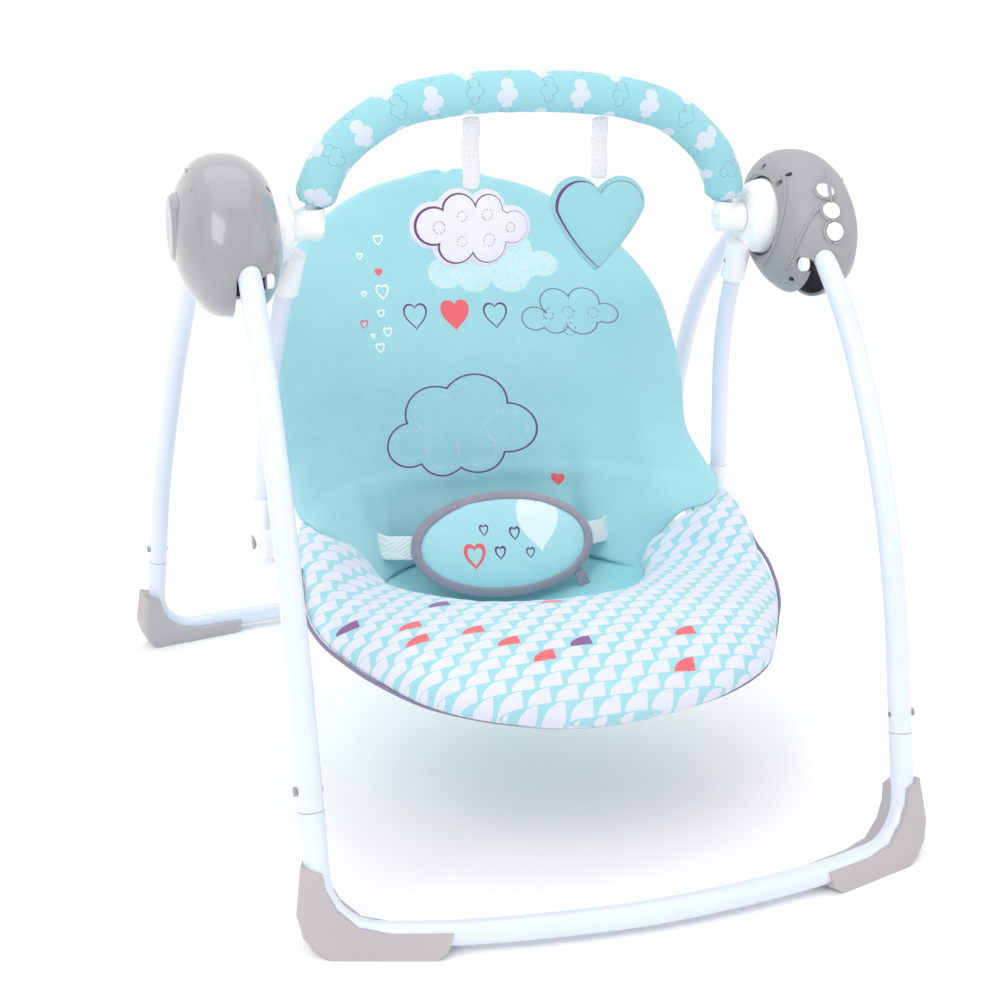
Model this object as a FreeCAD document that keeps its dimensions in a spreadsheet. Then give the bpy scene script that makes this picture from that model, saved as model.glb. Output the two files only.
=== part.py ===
import FreeCAD, Part
import os
import re
from math import cos, hypot, pi, radians, sin, tan
from FreeCAD import Placement, Rotation, Vector

# Portable electric baby swing. Millimetres, +X to the sitter's left, -Y to the front, +Z up.
# The origin is on the floor, in the middle of the footprint. Right-hand pieces have x > 0.

doc = FreeCAD.newDocument("BabySwing")

# ---------------------------------------------------------------- driving dimensions
sheet = doc.addObject("Spreadsheet::Sheet", "Dimensions")
dimensions = {
    "axleHeight": 502,
    "axleBack": -43,
    "tubeRadius": 9.5,
    "tubeWall": 1.2,
    "spigotRadius": 8.2,
    "armRadius": 8,
    "seatTubeRadius": 6,
    "housingMid": 260,
    "housingHalf": 44,
    "housingMajor": 78,
    "housingMinor": 57,
    "housingTilt": 34,
    "housingUp": 496,
    "housingBack": -6,
    "housingWall": 2.6,
    "seamPlace": 286,
    "wallPlace": 229.5,
    "hubRadius": 33.5,
    "axleRadius": 5,
    "bushingRadius": 8,
    "keyRadius": 8.2,
    "foldKeyRadius": 6.3,
    "capRadius": 28,
    "sleeveRadius": 17.5,
    "barTubeRadius": 6,
    "footHalf": 14.5,
    "reclineBack": 68,
    "reclineHeight": 208,
    "cellRadius": 7.2,
    "cellLength": 50,
    "ribbonWide": 15,
    "toyDepth": 20,
    "padDepth": 16,
    "webWide": 25,
    "screwRadius": 2,
    "fitGap": 0.05,
}
for row, (alias, value) in enumerate(dimensions.items(), start=1):
    sheet.set("A%d" % row, alias)
    sheet.set("B%d" % row, str(value))
    sheet.setAlias("B%d" % row, alias)
doc.recompute()

nodes = {}


def size(alias):
    return float(getattr(sheet, alias))


axleBack = size("axleBack")
axleHeight = size("axleHeight")


def at(x, y, z):
    """A point given by its distance behind the axle (y) and its height over the floor (z)."""
    return Vector(x, axleBack + y, z)


def formula(text):
    """An expression over the sheet: each word in it is one of the sheet's aliases."""
    return re.sub(r"[A-Za-z]\w*", lambda found: "Dimensions." + found.group(), str(text))


def bind(obj, **cells):
    for name, expression in cells.items():
        obj.setExpression(name, formula(expression))
    return obj


def keep(label, obj):
    """Registers an object of the document as a finished sub-part."""
    obj.Label = label
    nodes[label] = obj
    return obj


def feature(label, shape, place=None):
    """A Part::Feature for a shape that is made with Part's own functions."""
    obj = doc.addObject("Part::Feature", label)
    obj.Shape = shape
    obj.Placement = place or Placement()
    return obj


def facing(direction, across=Vector(0, 0, 1)):
    """The rotation that turns local Z to a direction, and local X close to another."""
    if abs(direction.normalize().dot(across)) > 0.99:
        across = Vector(1, 0, 0)
    return Rotation(across, Vector(), direction, "ZXY")


def cylinder(name, base, direction, radius, height, angle=None):
    """A Part::Cylinder from a base point along a direction; radius and height are expressions."""
    obj = doc.addObject("Part::Cylinder", name)
    bind(obj, Radius=str(radius), Height=str(height))
    if angle is not None:
        obj.Angle = angle
    obj.Placement = Placement(base, facing(Vector(direction)))
    return obj


def cone(name, base, direction, radiusStart, radiusEnd, height):
    obj = doc.addObject("Part::Cone", name)
    bind(obj, Radius1=str(radiusStart), Radius2=str(radiusEnd), Height=str(height))
    obj.Placement = Placement(base, facing(Vector(direction)))
    return obj


def box(name, centre, sizes, rotation=Rotation()):
    obj = doc.addObject("Part::Box", name)
    bind(obj, Length=str(sizes[0]), Width=str(sizes[1]), Height=str(sizes[2]))
    half = Vector(*sizes) * -0.5
    obj.Placement = Placement(centre + rotation.multVec(half), rotation)
    return obj


def fuse(name, *parts):
    obj = doc.addObject("Part::MultiFuse", name)
    obj.Shapes = list(parts)
    return obj


def cut(name, base, *tools):
    """Takes the tools out of the base."""
    obj = doc.addObject("Part::Cut", name)
    obj.Base = base
    obj.Tool = tools[0] if len(tools) == 1 else fuse(name + "Tools", *tools)
    return obj


def common(name, first, second):
    obj = doc.addObject("Part::MultiCommon", name)
    obj.Shapes = [first, second]
    return obj


def group(label, *parts):
    """Several separate solids that share one node."""
    obj = doc.addObject("Part::Compound", label)
    obj.Links = list(parts)
    return keep(label, obj)


def mirrored(label, source):
    """The left-hand twin of a right-hand piece."""
    obj = doc.addObject("Part::Mirroring", label)
    obj.Source = source
    obj.Base = Vector(0, 0, 0)
    obj.Normal = Vector(1, 0, 0)
    return obj


def bothSides(stem, right):
    keep(stem + "_right", right)
    keep(stem + "_left", mirrored(stem + "_left", right))


# ---------------------------------------------------------------- tubes
def bentPath(points, radii=None):
    """Straight runs joined by tangent arcs; each arc is as large as its runs allow, or as given."""
    radii = radii or {}
    edges = []
    start = points[0]
    for index in range(1, len(points) - 1):
        corner = points[index]
        back = points[index - 1] - corner
        ahead = points[index + 1] - corner
        turn = pi - back.getAngle(ahead)
        reach = 0.45 * min(back.Length, ahead.Length)
        if index in radii:
            reach = radii[index] * tan(turn / 2)
        radius = reach / tan(turn / 2)
        first = corner + back.normalize() * reach
        last = corner + ahead.normalize() * reach
        inward = (back + ahead).normalize()
        middle = corner + inward * (radius / cos(turn / 2) - radius)
        edges.append(Part.LineSegment(start, first).toShape())
        edges.append(Part.Arc(first, middle, last).toShape())
        start = last
    edges.append(Part.LineSegment(start, points[-1]).toShape())
    return Part.Wire(edges)


def sweep(path, radius):
    """A round solid along a path."""
    edge = path.Edges[0]
    tangent = edge.tangentAt(edge.FirstParameter)
    ring = Part.Wire(Part.Circle(edge.valueAt(edge.FirstParameter), tangent, radius).toShape())
    return path.makePipeShell([ring], True, False)


def tube(name, path, radiusCell, wallCell="tubeWall"):
    """A hollow tube along a path, with its outer radius and its wall from the sheet."""
    outer = size(radiusCell)
    return feature(name, sweep(path, outer).cut(sweep(path, outer - size(wallCell))))


def withTwin(points):
    """A path's right half, carried on to its mirror image."""
    return points + [Vector(-p.x, p.y, p.z) for p in reversed(points) if abs(p.x) > 0.01]


frontLegPoints = [
    at(252, -6, 500), at(252, -62, 482), at(252, -118, 428), at(251.5, -164, 362),
    at(250.5, -206, 285), at(249, -236, 205), at(247, -262, 103)]
rearLegPoints = [
    at(268, 26, 527), at(268, 78, 512), at(269, 150, 466), at(272, 216, 412),
    at(280, 272, 345), at(289, 316, 262), at(298, 342, 185), at(304, 356, 103)]
frontLegPath = bentPath(frontLegPoints)
rearLegPath = bentPath(rearLegPoints)

keep("rear_leg_right", tube("rear_leg_right", rearLegPath, "tubeRadius"))
keep("rear_leg_left", mirrored("rear_leg_left", nodes["rear_leg_right"]))

# The front legs end in a round knuckle that turns on the axle bushing.
knuckle = cylinder("knuckle", at(242.5, 0, axleHeight), (1, 0, 0), 15, 19)
knuckleBore = cylinder("knuckleBore", at(240, 0, axleHeight), (1, 0, 0),
                       "bushingRadius + fitGap", 24)
knuckleZone = Part.makeCylinder(16, 40, at(232, 0, axleHeight), Vector(1, 0, 0))
frontLegSolid = feature("frontLegSolid", sweep(frontLegPath, size("tubeRadius")))
frontLegInside = sweep(frontLegPath, size("tubeRadius") - size("tubeWall"))
frontLegBore = feature("frontLegBore", frontLegInside.cut(knuckleZone))
frontLegBody = fuse("frontLegBody", frontLegSolid, knuckle)
bothSides("front_leg", cut("front_leg_right", frontLegBody, frontLegBore, knuckleBore))


barHeight = 14.5
screwInset = 15


def floorTube(side, legPoints, bow):
    """A floor tube that carries on from both legs; a cross screw holds each thinner end."""
    end = legPoints[-1]
    drop = (end - legPoints[-2]) * (1 / (legPoints[-2].z - end.z))
    corner = end + drop * (end.z - barHeight)
    path = bentPath(withTwin([end - drop * 28, corner] + bow), {1: 46, 2 * len(bow) + 1: 46})
    wide = sweep(path, size("tubeRadius"))
    inLegs = []
    for sign in (-1, 1):
        legEnd = Vector(sign * end.x, end.y, end.z)
        upLeg = Vector(-sign * drop.x, -drop.y, -drop.z)
        inLegs.append(Part.makeCylinder(14, 40, legEnd, upLeg))
    solid = wide.cut(inLegs).fuse(sweep(path, size("spigotRadius"))).removeSplitter()
    base = feature(side + "BaseSolid", solid.cut(sweep(path, size("spigotRadius") - size("tubeWall"))))
    place = end - drop * screwInset
    screws = []
    holes = []
    for sign in (-1, 1):
        name = "%s%s" % (side, "Right" if sign > 0 else "Left")
        leg = "%s_leg_%s" % (side, "right" if sign > 0 else "left")
        out = Vector(sign, 0, 0)
        middle = Vector(sign * place.x, place.y, place.z)
        shank = cylinder(name + "Shank", middle - out * 10, out, "screwRadius", 19)
        head = cylinder(name + "Head", middle + out * 9.9, out, 3.4, 2.2)
        hole = cylinder(name + "Hole", middle - out * 12, out, "screwRadius + fitGap", 24)
        screws.append(fuse(name + "Screw", shank, head))
        holes.append(hole)
        keep(leg, cut(leg + "Drilled", nodes[leg], hole))
    keep(side + "_base_tube", cut(side + "_base_tube", base, *holes))
    group(side + "_leg_screws", *screws)
    return corner, sweep(path, size("tubeRadius") + size("fitGap"))


frontCorner, frontClear = floorTube(
    "front", frontLegPoints, [at(165, -311, barHeight), at(85, -323, barHeight), at(0, -329, barHeight)])
rearCorner, rearClear = floorTube(
    "rear", rearLegPoints, [at(212, 394, barHeight), at(105, 409, barHeight), at(0, 415, barHeight)])


# ---------------------------------------------------------------- feet
def originPlane(body, role):
    return next(item for item in body.Origin.OriginFeatures if item.Role == role)


def newBody(name):
    return doc.addObject("PartDesign::Body", name)


def sketchOn(body, name, role="XY_Plane"):
    sketch = body.newObject("Sketcher::SketchObject", name)
    sketch.AttachmentSupport = [(originPlane(body, role), "")]
    sketch.MapMode = "FlatFace"
    return sketch


def outline(sketch, corners):
    """A closed polygon of the corner points."""
    points = [Vector(x, y, 0) for x, y in corners]
    for start, end in zip(points, points[1:] + points[:1]):
        sketch.addGeometry(Part.LineSegment(start, end), False)


def pad(body, sketch, name, length, midplane=False, reverse=False):
    obj = body.newObject("PartDesign::Pad", name)
    obj.Profile = sketch
    bind(obj, Length=length)
    if midplane:
        obj.SideType = "Symmetric"
    obj.Reversed = reverse
    return obj


def footBlock(name, corner, inward, upward):
    """The boot's outer block: local X runs along the floor tube, local Y up the leg."""
    body = newBody(name)
    sketch = sketchOn(body, name + "Outline")
    outline(sketch, [
        (-1, 66), (-4, 30), (1, 13), (10, 2), (22, -6), (96, -6), (108, 3), (112, 17),
        (66, 17), (42, 21), (26, 34), (18, 48), (15, 61)])
    pad(body, sketch, name + "Pad", "footHalf * 2", midplane=True)
    doc.recompute()
    block = body.Tip
    edges = []
    solid = body.Shape
    for index, edge in enumerate(solid.Edges, start=1):
        onFace = abs(edge.BoundBox.ZLength) < 0.01
        outerSide = edge.BoundBox.YMin + edge.BoundBox.XMin < 94 and edge.BoundBox.YMax < 90
        lower = edge.CenterOfMass.y < 12 or edge.CenterOfMass.x < 2
        if onFace and outerSide and lower and edge.CenterOfMass.x < 95:
            edges.append("Edge%d" % index)
    fillet = body.newObject("PartDesign::Fillet", name + "Round")
    fillet.Base = (block, edges)
    fillet.Radius = 4
    body.Placement = Placement(corner, Rotation(inward, upward, Vector(), "XYZ"))
    return body


floorBox = box("floorBox", Vector(0, 0, -20), (900, 1000, 40))


def foot(stem, corner, inward, upward, tubeSolid):
    clearTube = feature(stem + "Clear", tubeSolid)
    block = footBlock(stem + "Block", corner, inward, upward)
    bothSides(stem, cut(stem + "_right", block, clearTube, floorBox))


foot("front_foot", Vector(frontCorner.x + 14, frontCorner.y + 3.5, 0),
     Vector(-0.959, -0.284, 0), Vector(0, 0.25, 1), frontClear)
foot("rear_foot", Vector(rearCorner.x + 14, rearCorner.y - 3.5, 0),
     Vector(-0.967, 0.252, 0), Vector(-0.07, -0.17, 1), rearClear)


# ---------------------------------------------------------------- side housings
def bulge(x):
    """How much of the full side profile is left at a place across the housing (0 to 1)."""
    share = min(abs(x - size("housingMid")) / size("housingHalf"), 1)
    return (1 - share ** 2.3) ** (1 / 2.3)


tilt = radians(size("housingTilt"))
longWay = Vector(0, -cos(tilt), -sin(tilt))
shortWay = Vector(0, sin(tilt), -cos(tilt))


def profile(name, x, share, inset):
    """One upright egg profile of the housing, as an ellipse that leans forward and down."""
    obj = doc.addObject("Part::Ellipse", name)
    bind(obj,
         MajorRadius="housingMajor * %.4f - %g" % (share, inset),
         MinorRadius="housingMinor * %.4f - %g" % (share, inset))
    centre = at(x, size("housingBack"), size("housingUp"))
    obj.Placement = Placement(centre, Rotation(longWay, shortWay, Vector(1, 0, 0), "ZXY"))
    return obj


def eggLoft(name, places, inset=0, scale=1):
    loft = doc.addObject("Part::Loft", name)
    shares = [scale * bulge(x) for x in places]
    loft.Sections = [
        profile("%sProfile%d" % (name, index), x, share, inset)
        for index, (x, share) in enumerate(zip(places, shares))]
    loft.Solid = True
    loft.Ruled = False
    return loft


wallPlace = size("wallPlace")
seam = size("seamPlace")
wall = size("housingWall")
innerPlaces = [217.5, 219.5, 223, 229, 238, 249, 260, 272, 280, seam]
cavityPlaces = [wallPlace + wall, 240, 250, 260, 272, seam + 0.01]
coverPlaces = [seam, 290, 294, 298, 301, 303]
lidPlaces = [seam - 0.01, 289, 292.5, 296, 299.5]

axlePoint = at(0, 0, axleHeight)


def acrossAt(x, y=0, z=axleHeight):
    return at(x, y, z)


def innerCover():
    """The inner shell, with a dished recess for the hub and a slot for the folding front leg."""
    outer = eggLoft("coverInnerOuter", innerPlaces)
    cavity = eggLoft("coverInnerCavity", cavityPlaces, inset=wall)
    recess = cylinder("hubRecess", acrossAt(wallPlace), (-1, 0, 0), "hubRadius + 2.5", 30)
    dish = cone("hubDish", acrossAt(224.5), (-1, 0, 0), 38, 60, 14)
    bore = cylinder("bushingHole", acrossAt(220), (1, 0, 0), "bushingRadius + fitGap", 20)
    slotTop = radians(24)
    slot = cylinder("legSlot", acrossAt(241.3), (1, 0, 0), 120, 21.4, angle=75)
    slot.Placement = Placement(acrossAt(241.3), Rotation(Vector(0, -cos(slotTop), -sin(slotTop)),
                                                         Vector(0, sin(slotTop), -cos(slotTop)),
                                                         Vector(1, 0, 0), "ZXY"))
    legClear = feature("legClear", sweep(frontLegPath, size("tubeRadius") + 0.4))
    knuckleClear = cylinder("knuckleClear", acrossAt(241.3), (1, 0, 0), 15.6, 21.4)
    rearHole = feature("rearLegHole", sweep(rearLegPath, size("tubeRadius") + size("fitGap")))
    rearHoleStart = cylinder("rearLegEnd", at(268, 25, 527.3), (0, 1, -0.29), "tubeRadius + fitGap", 12)
    return cut("innerShell", outer, cavity, recess, dish, bore, slot, legClear, knuckleClear,
               rearHole, rearHoleStart)


screwSpots = [(-26, 533), (8, 545)]
blindSpots = [(-63, 487), (-55, 455), (47, 543)]


def screwAccess():
    """Deep holes over the case screws, and two shallow ones in the lower half."""
    tools = []
    for index, (y, z) in enumerate(screwSpots):
        tools.append(cylinder("access%d" % index, acrossAt(205, y, z), (1, 0, 0), 3, 28))
        tools.append(cylinder("shankHole%d" % index, acrossAt(230, y, z), (1, 0, 0), 1.8, 30))
    for index, (y, z) in enumerate(blindSpots):
        tools.append(cylinder("blind%d" % index, acrossAt(205, y, z), (1, 0, 0), 3, 24))
    tools.append(cylinder("frontPocket", at(243, -90, 471), (0, 1, 0), 3, 12))
    return tools


rightShell = innerCover()
plainShell = mirrored("plainShell", cut("plainInner", rightShell, *screwAccess()))

# ---------------------------------------------------------------- keys on the right housing
keySpots = {
    "power_button": (258, -60, 534, Vector(0, -0.66, 0.75)),
    "timer_button": (258.5, -74.5, 517, Vector(0, -0.83, 0.56)),
    "music_button": (259, -83, 497, Vector(0, -0.96, 0.28)),
}


def surfacePoint(x, y, z, normal):
    """Where a line along the normal leaves the housing's outer form."""
    share = bulge(x)
    point = at(x, y, z)
    middle = at(x, size("housingBack"), size("housingUp"))
    for _ in range(40):
        away = point - middle
        value = hypot(away.dot(longWay) / size("housingMajor"),
                      away.dot(shortWay) / size("housingMinor"))
        point = point - normal * ((value / share - 1) * 50)
    return point


keyHoles = []
for label, (x, y, z, normal) in keySpots.items():
    normal.normalize()
    skin = surfacePoint(x, y, z, normal)
    keyHoles.append(cylinder(label + "Hole", skin - normal * 8, normal, "keyRadius + 0.3", 14))
    stem = cylinder(label + "Stem", skin - normal * 6.5, normal, "keyRadius", 7)
    head = cone(label + "Head", skin + normal * 0.5, normal, "keyRadius", "keyRadius - 1.4", 1.3)
    keep(label, fuse(label, stem, head))

speakerDots = []
for index in range(6):
    spot = at(205, 36 + 5 * (index % 3), 531 + 5 * (index // 3))
    speakerDots.append(cylinder("speakerDot%d" % index, spot, (1, 0, 0), 1.1, 40))

foldSpot = at(233.6, -66.6, 466)


def foldKey():
    stem = cylinder("foldStem", foldSpot, (1, 0, 0), "foldKeyRadius", 4.6)
    head = cone("foldHead", foldSpot, (-1, 0, 0), "foldKeyRadius", "foldKeyRadius - 1.5", 1.5)
    return fuse("fold_button_right", stem, head)


bothSides("fold_button", foldKey())
foldHole = cylinder("foldHole", foldSpot - Vector(18, 0, 0), (1, 0, 0), "foldKeyRadius + 0.3", 26)
keep("housing_inner_right", cut("housing_inner_right", cut("rightPlain", rightShell, *screwAccess()),
                                foldHole, *(keyHoles + speakerDots)))
keep("housing_inner_left", cut("housing_inner_left", plainShell, mirrored("foldHoleLeft", foldHole)))

# ---------------------------------------------------------------- outer covers, cap and battery door
coverScale = 0.965
coverOuter = eggLoft("coverOuter", coverPlaces, scale=coverScale)
coverCavity = eggLoft("coverCavity", lidPlaces, inset=wall, scale=coverScale)
bosses = []
bossBores = []
for index, (y, z) in enumerate(screwSpots):
    bosses.append(cylinder("boss%d" % index, acrossAt(266, y, z), (1, 0, 0), 4, 24))
    bossBores.append(cylinder("bossBore%d" % index, acrossAt(261, y, z), (1, 0, 0), 1.8, 20))
hollowCover = cut("hollowCover", coverOuter, coverCavity)
coverBody = cut("coverBody", fuse("coverWithBosses", hollowCover, *bosses), *bossBores)

capSeat = cylinder("capSeat", acrossAt(297), (1, 0, 0), "capRadius + 0.3", 20)
capHole = cylinder("capHole", acrossAt(280), (1, 0, 0), 5, 30)
leftCover = cut("leftCoverRight", coverBody, capSeat, capHole)
keep("housing_outer_left", mirrored("housing_outer_left", leftCover))

doorBlock = box("doorBlock", acrossAt(300, -5, 498), (30, 44, 66))
doorHole = box("doorHole", acrossAt(300, -5, 498), (30, 44.6, 66.6))
keep("battery_door", common("battery_door", hollowCover, doorBlock))
keep("housing_outer_right", cut("housing_outer_right", coverBody, doorHole))


def axleCap():
    """The round dished cap over the left axle end."""
    body = newBody("axleCapBody")
    sketch = sketchOn(body, "capProfile", "XZ_Plane")
    radius = size("capRadius")
    outline(sketch, [(0, 0), (radius, 0), (radius, 5), (radius - 3, 8.2), (radius - 8, 8.8), (0, 7.6)])
    spin = body.newObject("PartDesign::Revolution", "capSpin")
    spin.Profile = sketch
    spin.ReferenceAxis = (sketch, ["V_Axis"])
    spin.Angle = 360
    body.Placement = Placement(acrossAt(-297), facing(Vector(-1, 0, 0)))
    return body


keep("axle_cap_left", axleCap())

# ---------------------------------------------------------------- axle, bushing and hub
flange = cylinder("bushingFlange", acrossAt(wallPlace + wall), (1, 0, 0), 12, 3)
sleeve = cylinder("bushingSleeve", acrossAt(wallPlace - 1), (1, 0, 0), "bushingRadius", 34)
bushingBore = cylinder("bushingBore", acrossAt(220), (1, 0, 0), "axleRadius + fitGap", 60)
bothSides("axle_bushing", cut("axle_bushing_right", fuse("bushingBody", flange, sleeve), bushingBore))

shaft = cylinder("shaft", acrossAt(208), (1, 0, 0), "axleRadius", 57)
crank = cylinder("crank", acrossAt(263.2), (1, 0, 0), 12, 3)
bothSides("axle", fuse("axle_right", shaft, crank))

armPoints = [at(206.8, 8, 466), at(217, 52, 384), at(228, 67, 249), at(228.6, 68, 193)]
armPath = bentPath(armPoints)
armDirection = (armPoints[1] - armPoints[0]).normalize()
socketTop = armPoints[0] - armDirection * 14


def hubDrum():
    """The white drum on the axle: a flat rim, then a rounded taper towards the seat."""
    body = newBody("hubDrumBody")
    sketch = sketchOn(body, "hubProfile", "XZ_Plane")
    rim = size("hubRadius")
    outline(sketch, [
        (0, 0), (rim - 1, 0), (rim, 1), (rim, 4), (rim - 0.8, 8), (rim - 2.6, 13), (rim - 5, 17),
        (rim - 8.5, 20.4), (rim - 13, 22.2), (rim - 18, 22.6), (0, 22.6)])
    spin = body.newObject("PartDesign::Revolution", "hubSpin")
    spin.Profile = sketch
    spin.ReferenceAxis = (sketch, ["V_Axis"])
    spin.Angle = 360
    body.Placement = Placement(acrossAt(228), facing(Vector(-1, 0, 0)))
    return body


armSocket = cylinder("armSocket", socketTop, armDirection, 11.5, 37)
armBore = cylinder("armBore", armPoints[0], armDirection, "armRadius + fitGap", 40)
hubBore = cylinder("hubBore", acrossAt(208), (1, 0, 0), "axleRadius", 30)
hubBody = fuse("hubBody", hubDrum(), armSocket)
armScrewAt = armPoints[0] + armDirection * 6
armScrewHole = cylinder("armScrewHole", armScrewAt - Vector(16, 0, 0), (1, 0, 0),
                        "screwRadius + fitGap", 22)
bothSides("hub", cut("hub_right", hubBody, armBore, hubBore, armScrewHole))

armTube = tube("armTube", armPath, "armRadius")
reclineBack = size("reclineBack")
reclineHeight = size("reclineHeight")
pinHole = cylinder("pinHole", at(200, reclineBack, reclineHeight), (1, 0, 0), "4 + fitGap", 50)
headHole = cylinder("headHole", at(235.3, reclineBack, reclineHeight), (1, 0, 0), 7.2, 10)
bothSides("arm", cut("arm_right", armTube, armScrewHole, pinHole, headHole))
rightArmScrew = cylinder("armScrewRight", armScrewAt + Vector(-11, 0, 0), (1, 0, 0), "screwRadius", 14)
group("arm_screws", rightArmScrew, mirrored("armScrewLeft", rightArmScrew))

# ---------------------------------------------------------------- recline joint
lowerDirection = (armPoints[3] - armPoints[2]).normalize()
bracketSleeve = cylinder("bracketSleeve", armPoints[2] + Vector(0, 0, 1), lowerDirection, 10, 62)
bracketDisc = cylinder("bracketDisc", at(216, reclineBack, reclineHeight), (1, 0, 0), 17, 12)
bracketBore = feature("bracketBore", sweep(armPath, size("armRadius") + size("fitGap")))
bracketBody = fuse("bracketBody", bracketSleeve, bracketDisc)
bothSides("recline_bracket", cut("recline_bracket_right", bracketBody, bracketBore, pinHole, headHole))


def reclineBolt(name):
    shank = cylinder(name + "Shank", at(206, reclineBack, reclineHeight), (1, 0, 0), 4, 32)
    head = cylinder(name + "Head", at(235.4, reclineBack, reclineHeight), (1, 0, 0), 7, 3)
    return fuse(name, shank, head)


rightBolt = reclineBolt("reclineBoltRight")
group("recline_bolts", rightBolt, mirrored("reclineBoltLeft", rightBolt))

# ---------------------------------------------------------------- toy bar
barLean = -0.13


def overBar(x, z):
    """A point of the toy bar's plane, which leans a little to the front."""
    return at(x, (z - axleHeight) * barLean, z)


barPoints = withTwin([
    overBar(187.5, 505), overBar(189, 524), overBar(181, 546), overBar(157, 574), overBar(122, 597),
    overBar(75, 608), overBar(25, 611)])
barPath = bentPath(barPoints)
socketBlock = cylinder("socketBlock", acrossAt(182.5), (1, 0, 0), 13.2, 22.4)
socketEnd = cone("socketEnd", acrossAt(182.5), (-1, 0, 0), 13.2, 10.2, 3)
socketNeck = cylinder("socketNeck", overBar(187.5, 504), barPoints[1] - barPoints[0], 10.5, 12.5)
socketBore = feature("socketBore", sweep(barPath, size("barTubeRadius") + size("fitGap")))
socketBody = fuse("socketBody", socketBlock, socketEnd, socketNeck)
bothSides("toy_bar_socket", cut("toy_bar_socket_right", socketBody, socketBore))
keep("toy_bar_tube", tube("toy_bar_tube", barPath, "barTubeRadius", "tubeWall"))

sleevePoints = withTwin([
    overBar(187, 520), overBar(181, 546), overBar(157, 574), overBar(122, 597), overBar(75, 608),
    overBar(25, 611)])
sleevePath = bentPath(sleevePoints)
sleeveCore = sweep(barPath, size("barTubeRadius") + size("fitGap"))
keep("toy_bar_sleeve", feature("toy_bar_sleeve", sweep(sleevePath, size("sleeveRadius")).cut(sleeveCore)))

toyBack = axleBack - 14


def ribbon(label, x, low):
    top = 589.5
    keep(label, box(label, Vector(x, toyBack, (top + low) / 2), (size("ribbonWide"), 1.4, top - low)))


def cloudToy(x, z):
    """Six overlapping discs make the cloud's outline."""
    puffs = [(-34, 4, 20), (-12, 16, 19), (14, 17, 17), (36, 2, 18), (14, -12, 20), (-14, -12, 20)]
    discs = [
        cylinder("puff%d" % i, Vector(x + dx, toyBack + 10, z + dz), (0, -1, 0), radius, "toyDepth")
        for i, (dx, dz, radius) in enumerate(puffs)]
    return fuse("cloud_toy", *discs)


def heartToy(x, z):
    """Two round lobes over a rounded point."""
    body = newBody("heartBody")
    sketch = sketchOn(body, "heartOutline", "XZ_Plane")
    outlinePoints = [(-44, 12.6), (-22, 40.5), (0, 29), (22, 40.5), (44, 12.6), (25.5, -16), (0, -42),
                     (-25.5, -16), (-44, 12.6)]
    corners = [Vector(along, up, 0) for along, up in outlinePoints]
    for first in range(0, 8, 2):
        sketch.addGeometry(Part.Arc(*corners[first:first + 3]), False)
    pad(body, sketch, "heartPad", "toyDepth + 6", midplane=True)
    body.Placement = Placement(Vector(x, toyBack, z), Rotation())
    return body


ribbon("cloud_ribbon", -55, 532)
ribbon("heart_ribbon", 60, 541.5)
keep("cloud_toy", cloudToy(-55, 497))
keep("heart_toy", heartToy(60, 500))

# ---------------------------------------------------------------- seat frame
backTubePath = bentPath(withTwin([
    at(209.5, 78, 224), at(207, 92, 250), at(197, 120, 296), at(190, 148, 340), at(186, 173, 378),
    at(176, 198, 412), at(150, 236, 456), at(112, 264, 490), at(45, 282, 510)]))
baseTubePath = bentPath(withTwin([
    at(209.5, 52, 194), at(203, 12, 166), at(190, -30, 143), at(160, -90, 126), at(120, -135, 120),
    at(45, -165, 116)]))
keep("seat_back_tube", tube("seat_back_tube", backTubePath, "seatTubeRadius"))
keep("seat_base_tube", tube("seat_base_tube", baseTubePath, "seatTubeRadius"))


def seatPlate():
    """The oval plate that clamps both seat tubes and turns on the recline bolt."""
    body = newBody("seatPlateBody")
    sketch = sketchOn(body, "seatPlateOutline")
    half = 20
    reach = 15
    for sign in (-1, 1):
        start = Vector(sign * reach, sign * half, 0)
        end = Vector(-sign * reach, sign * half, 0)
        sketch.addGeometry(Part.LineSegment(start, end), False)
        tip = Vector(-sign * (reach + half), 0, 0)
        sketch.addGeometry(Part.Arc(end, tip, Vector(end.x, -end.y, 0)), False)
    pad(body, sketch, "seatPlatePad", "13")
    body.Placement = Placement(at(202.6, reclineBack, reclineHeight),
                               Rotation(Vector(0, 0.5, 0.87), Vector(), Vector(1, 0, 0), "ZXY"))
    return body


plateBore = cylinder("plateBore", at(200, reclineBack, reclineHeight), (1, 0, 0), "4 + fitGap", 30)
backClear = feature("backClear", sweep(backTubePath, size("seatTubeRadius") + size("fitGap")))
baseClear = feature("baseClear", sweep(baseTubePath, size("seatTubeRadius") + size("fitGap")))
bothSides("seat_plate", cut("seat_plate_right", seatPlate(), plateBore, backClear, baseClear))


# ---------------------------------------------------------------- seat padding (plain closed solids)
def crescent(edgeLeft, centre, edgeRight, thickness):
    """A closed strip: an arc through three points, and the same arc moved by the thickness."""
    front = Part.Arc(edgeLeft, centre, edgeRight).toShape()
    back = Part.Arc(edgeRight + thickness, centre + thickness, edgeLeft + thickness).toShape()
    sides = [Part.LineSegment(edgeRight, edgeRight + thickness).toShape(),
             Part.LineSegment(edgeLeft + thickness, edgeLeft).toShape()]
    return Part.Wire([front, sides[0], back, sides[1]])


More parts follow.
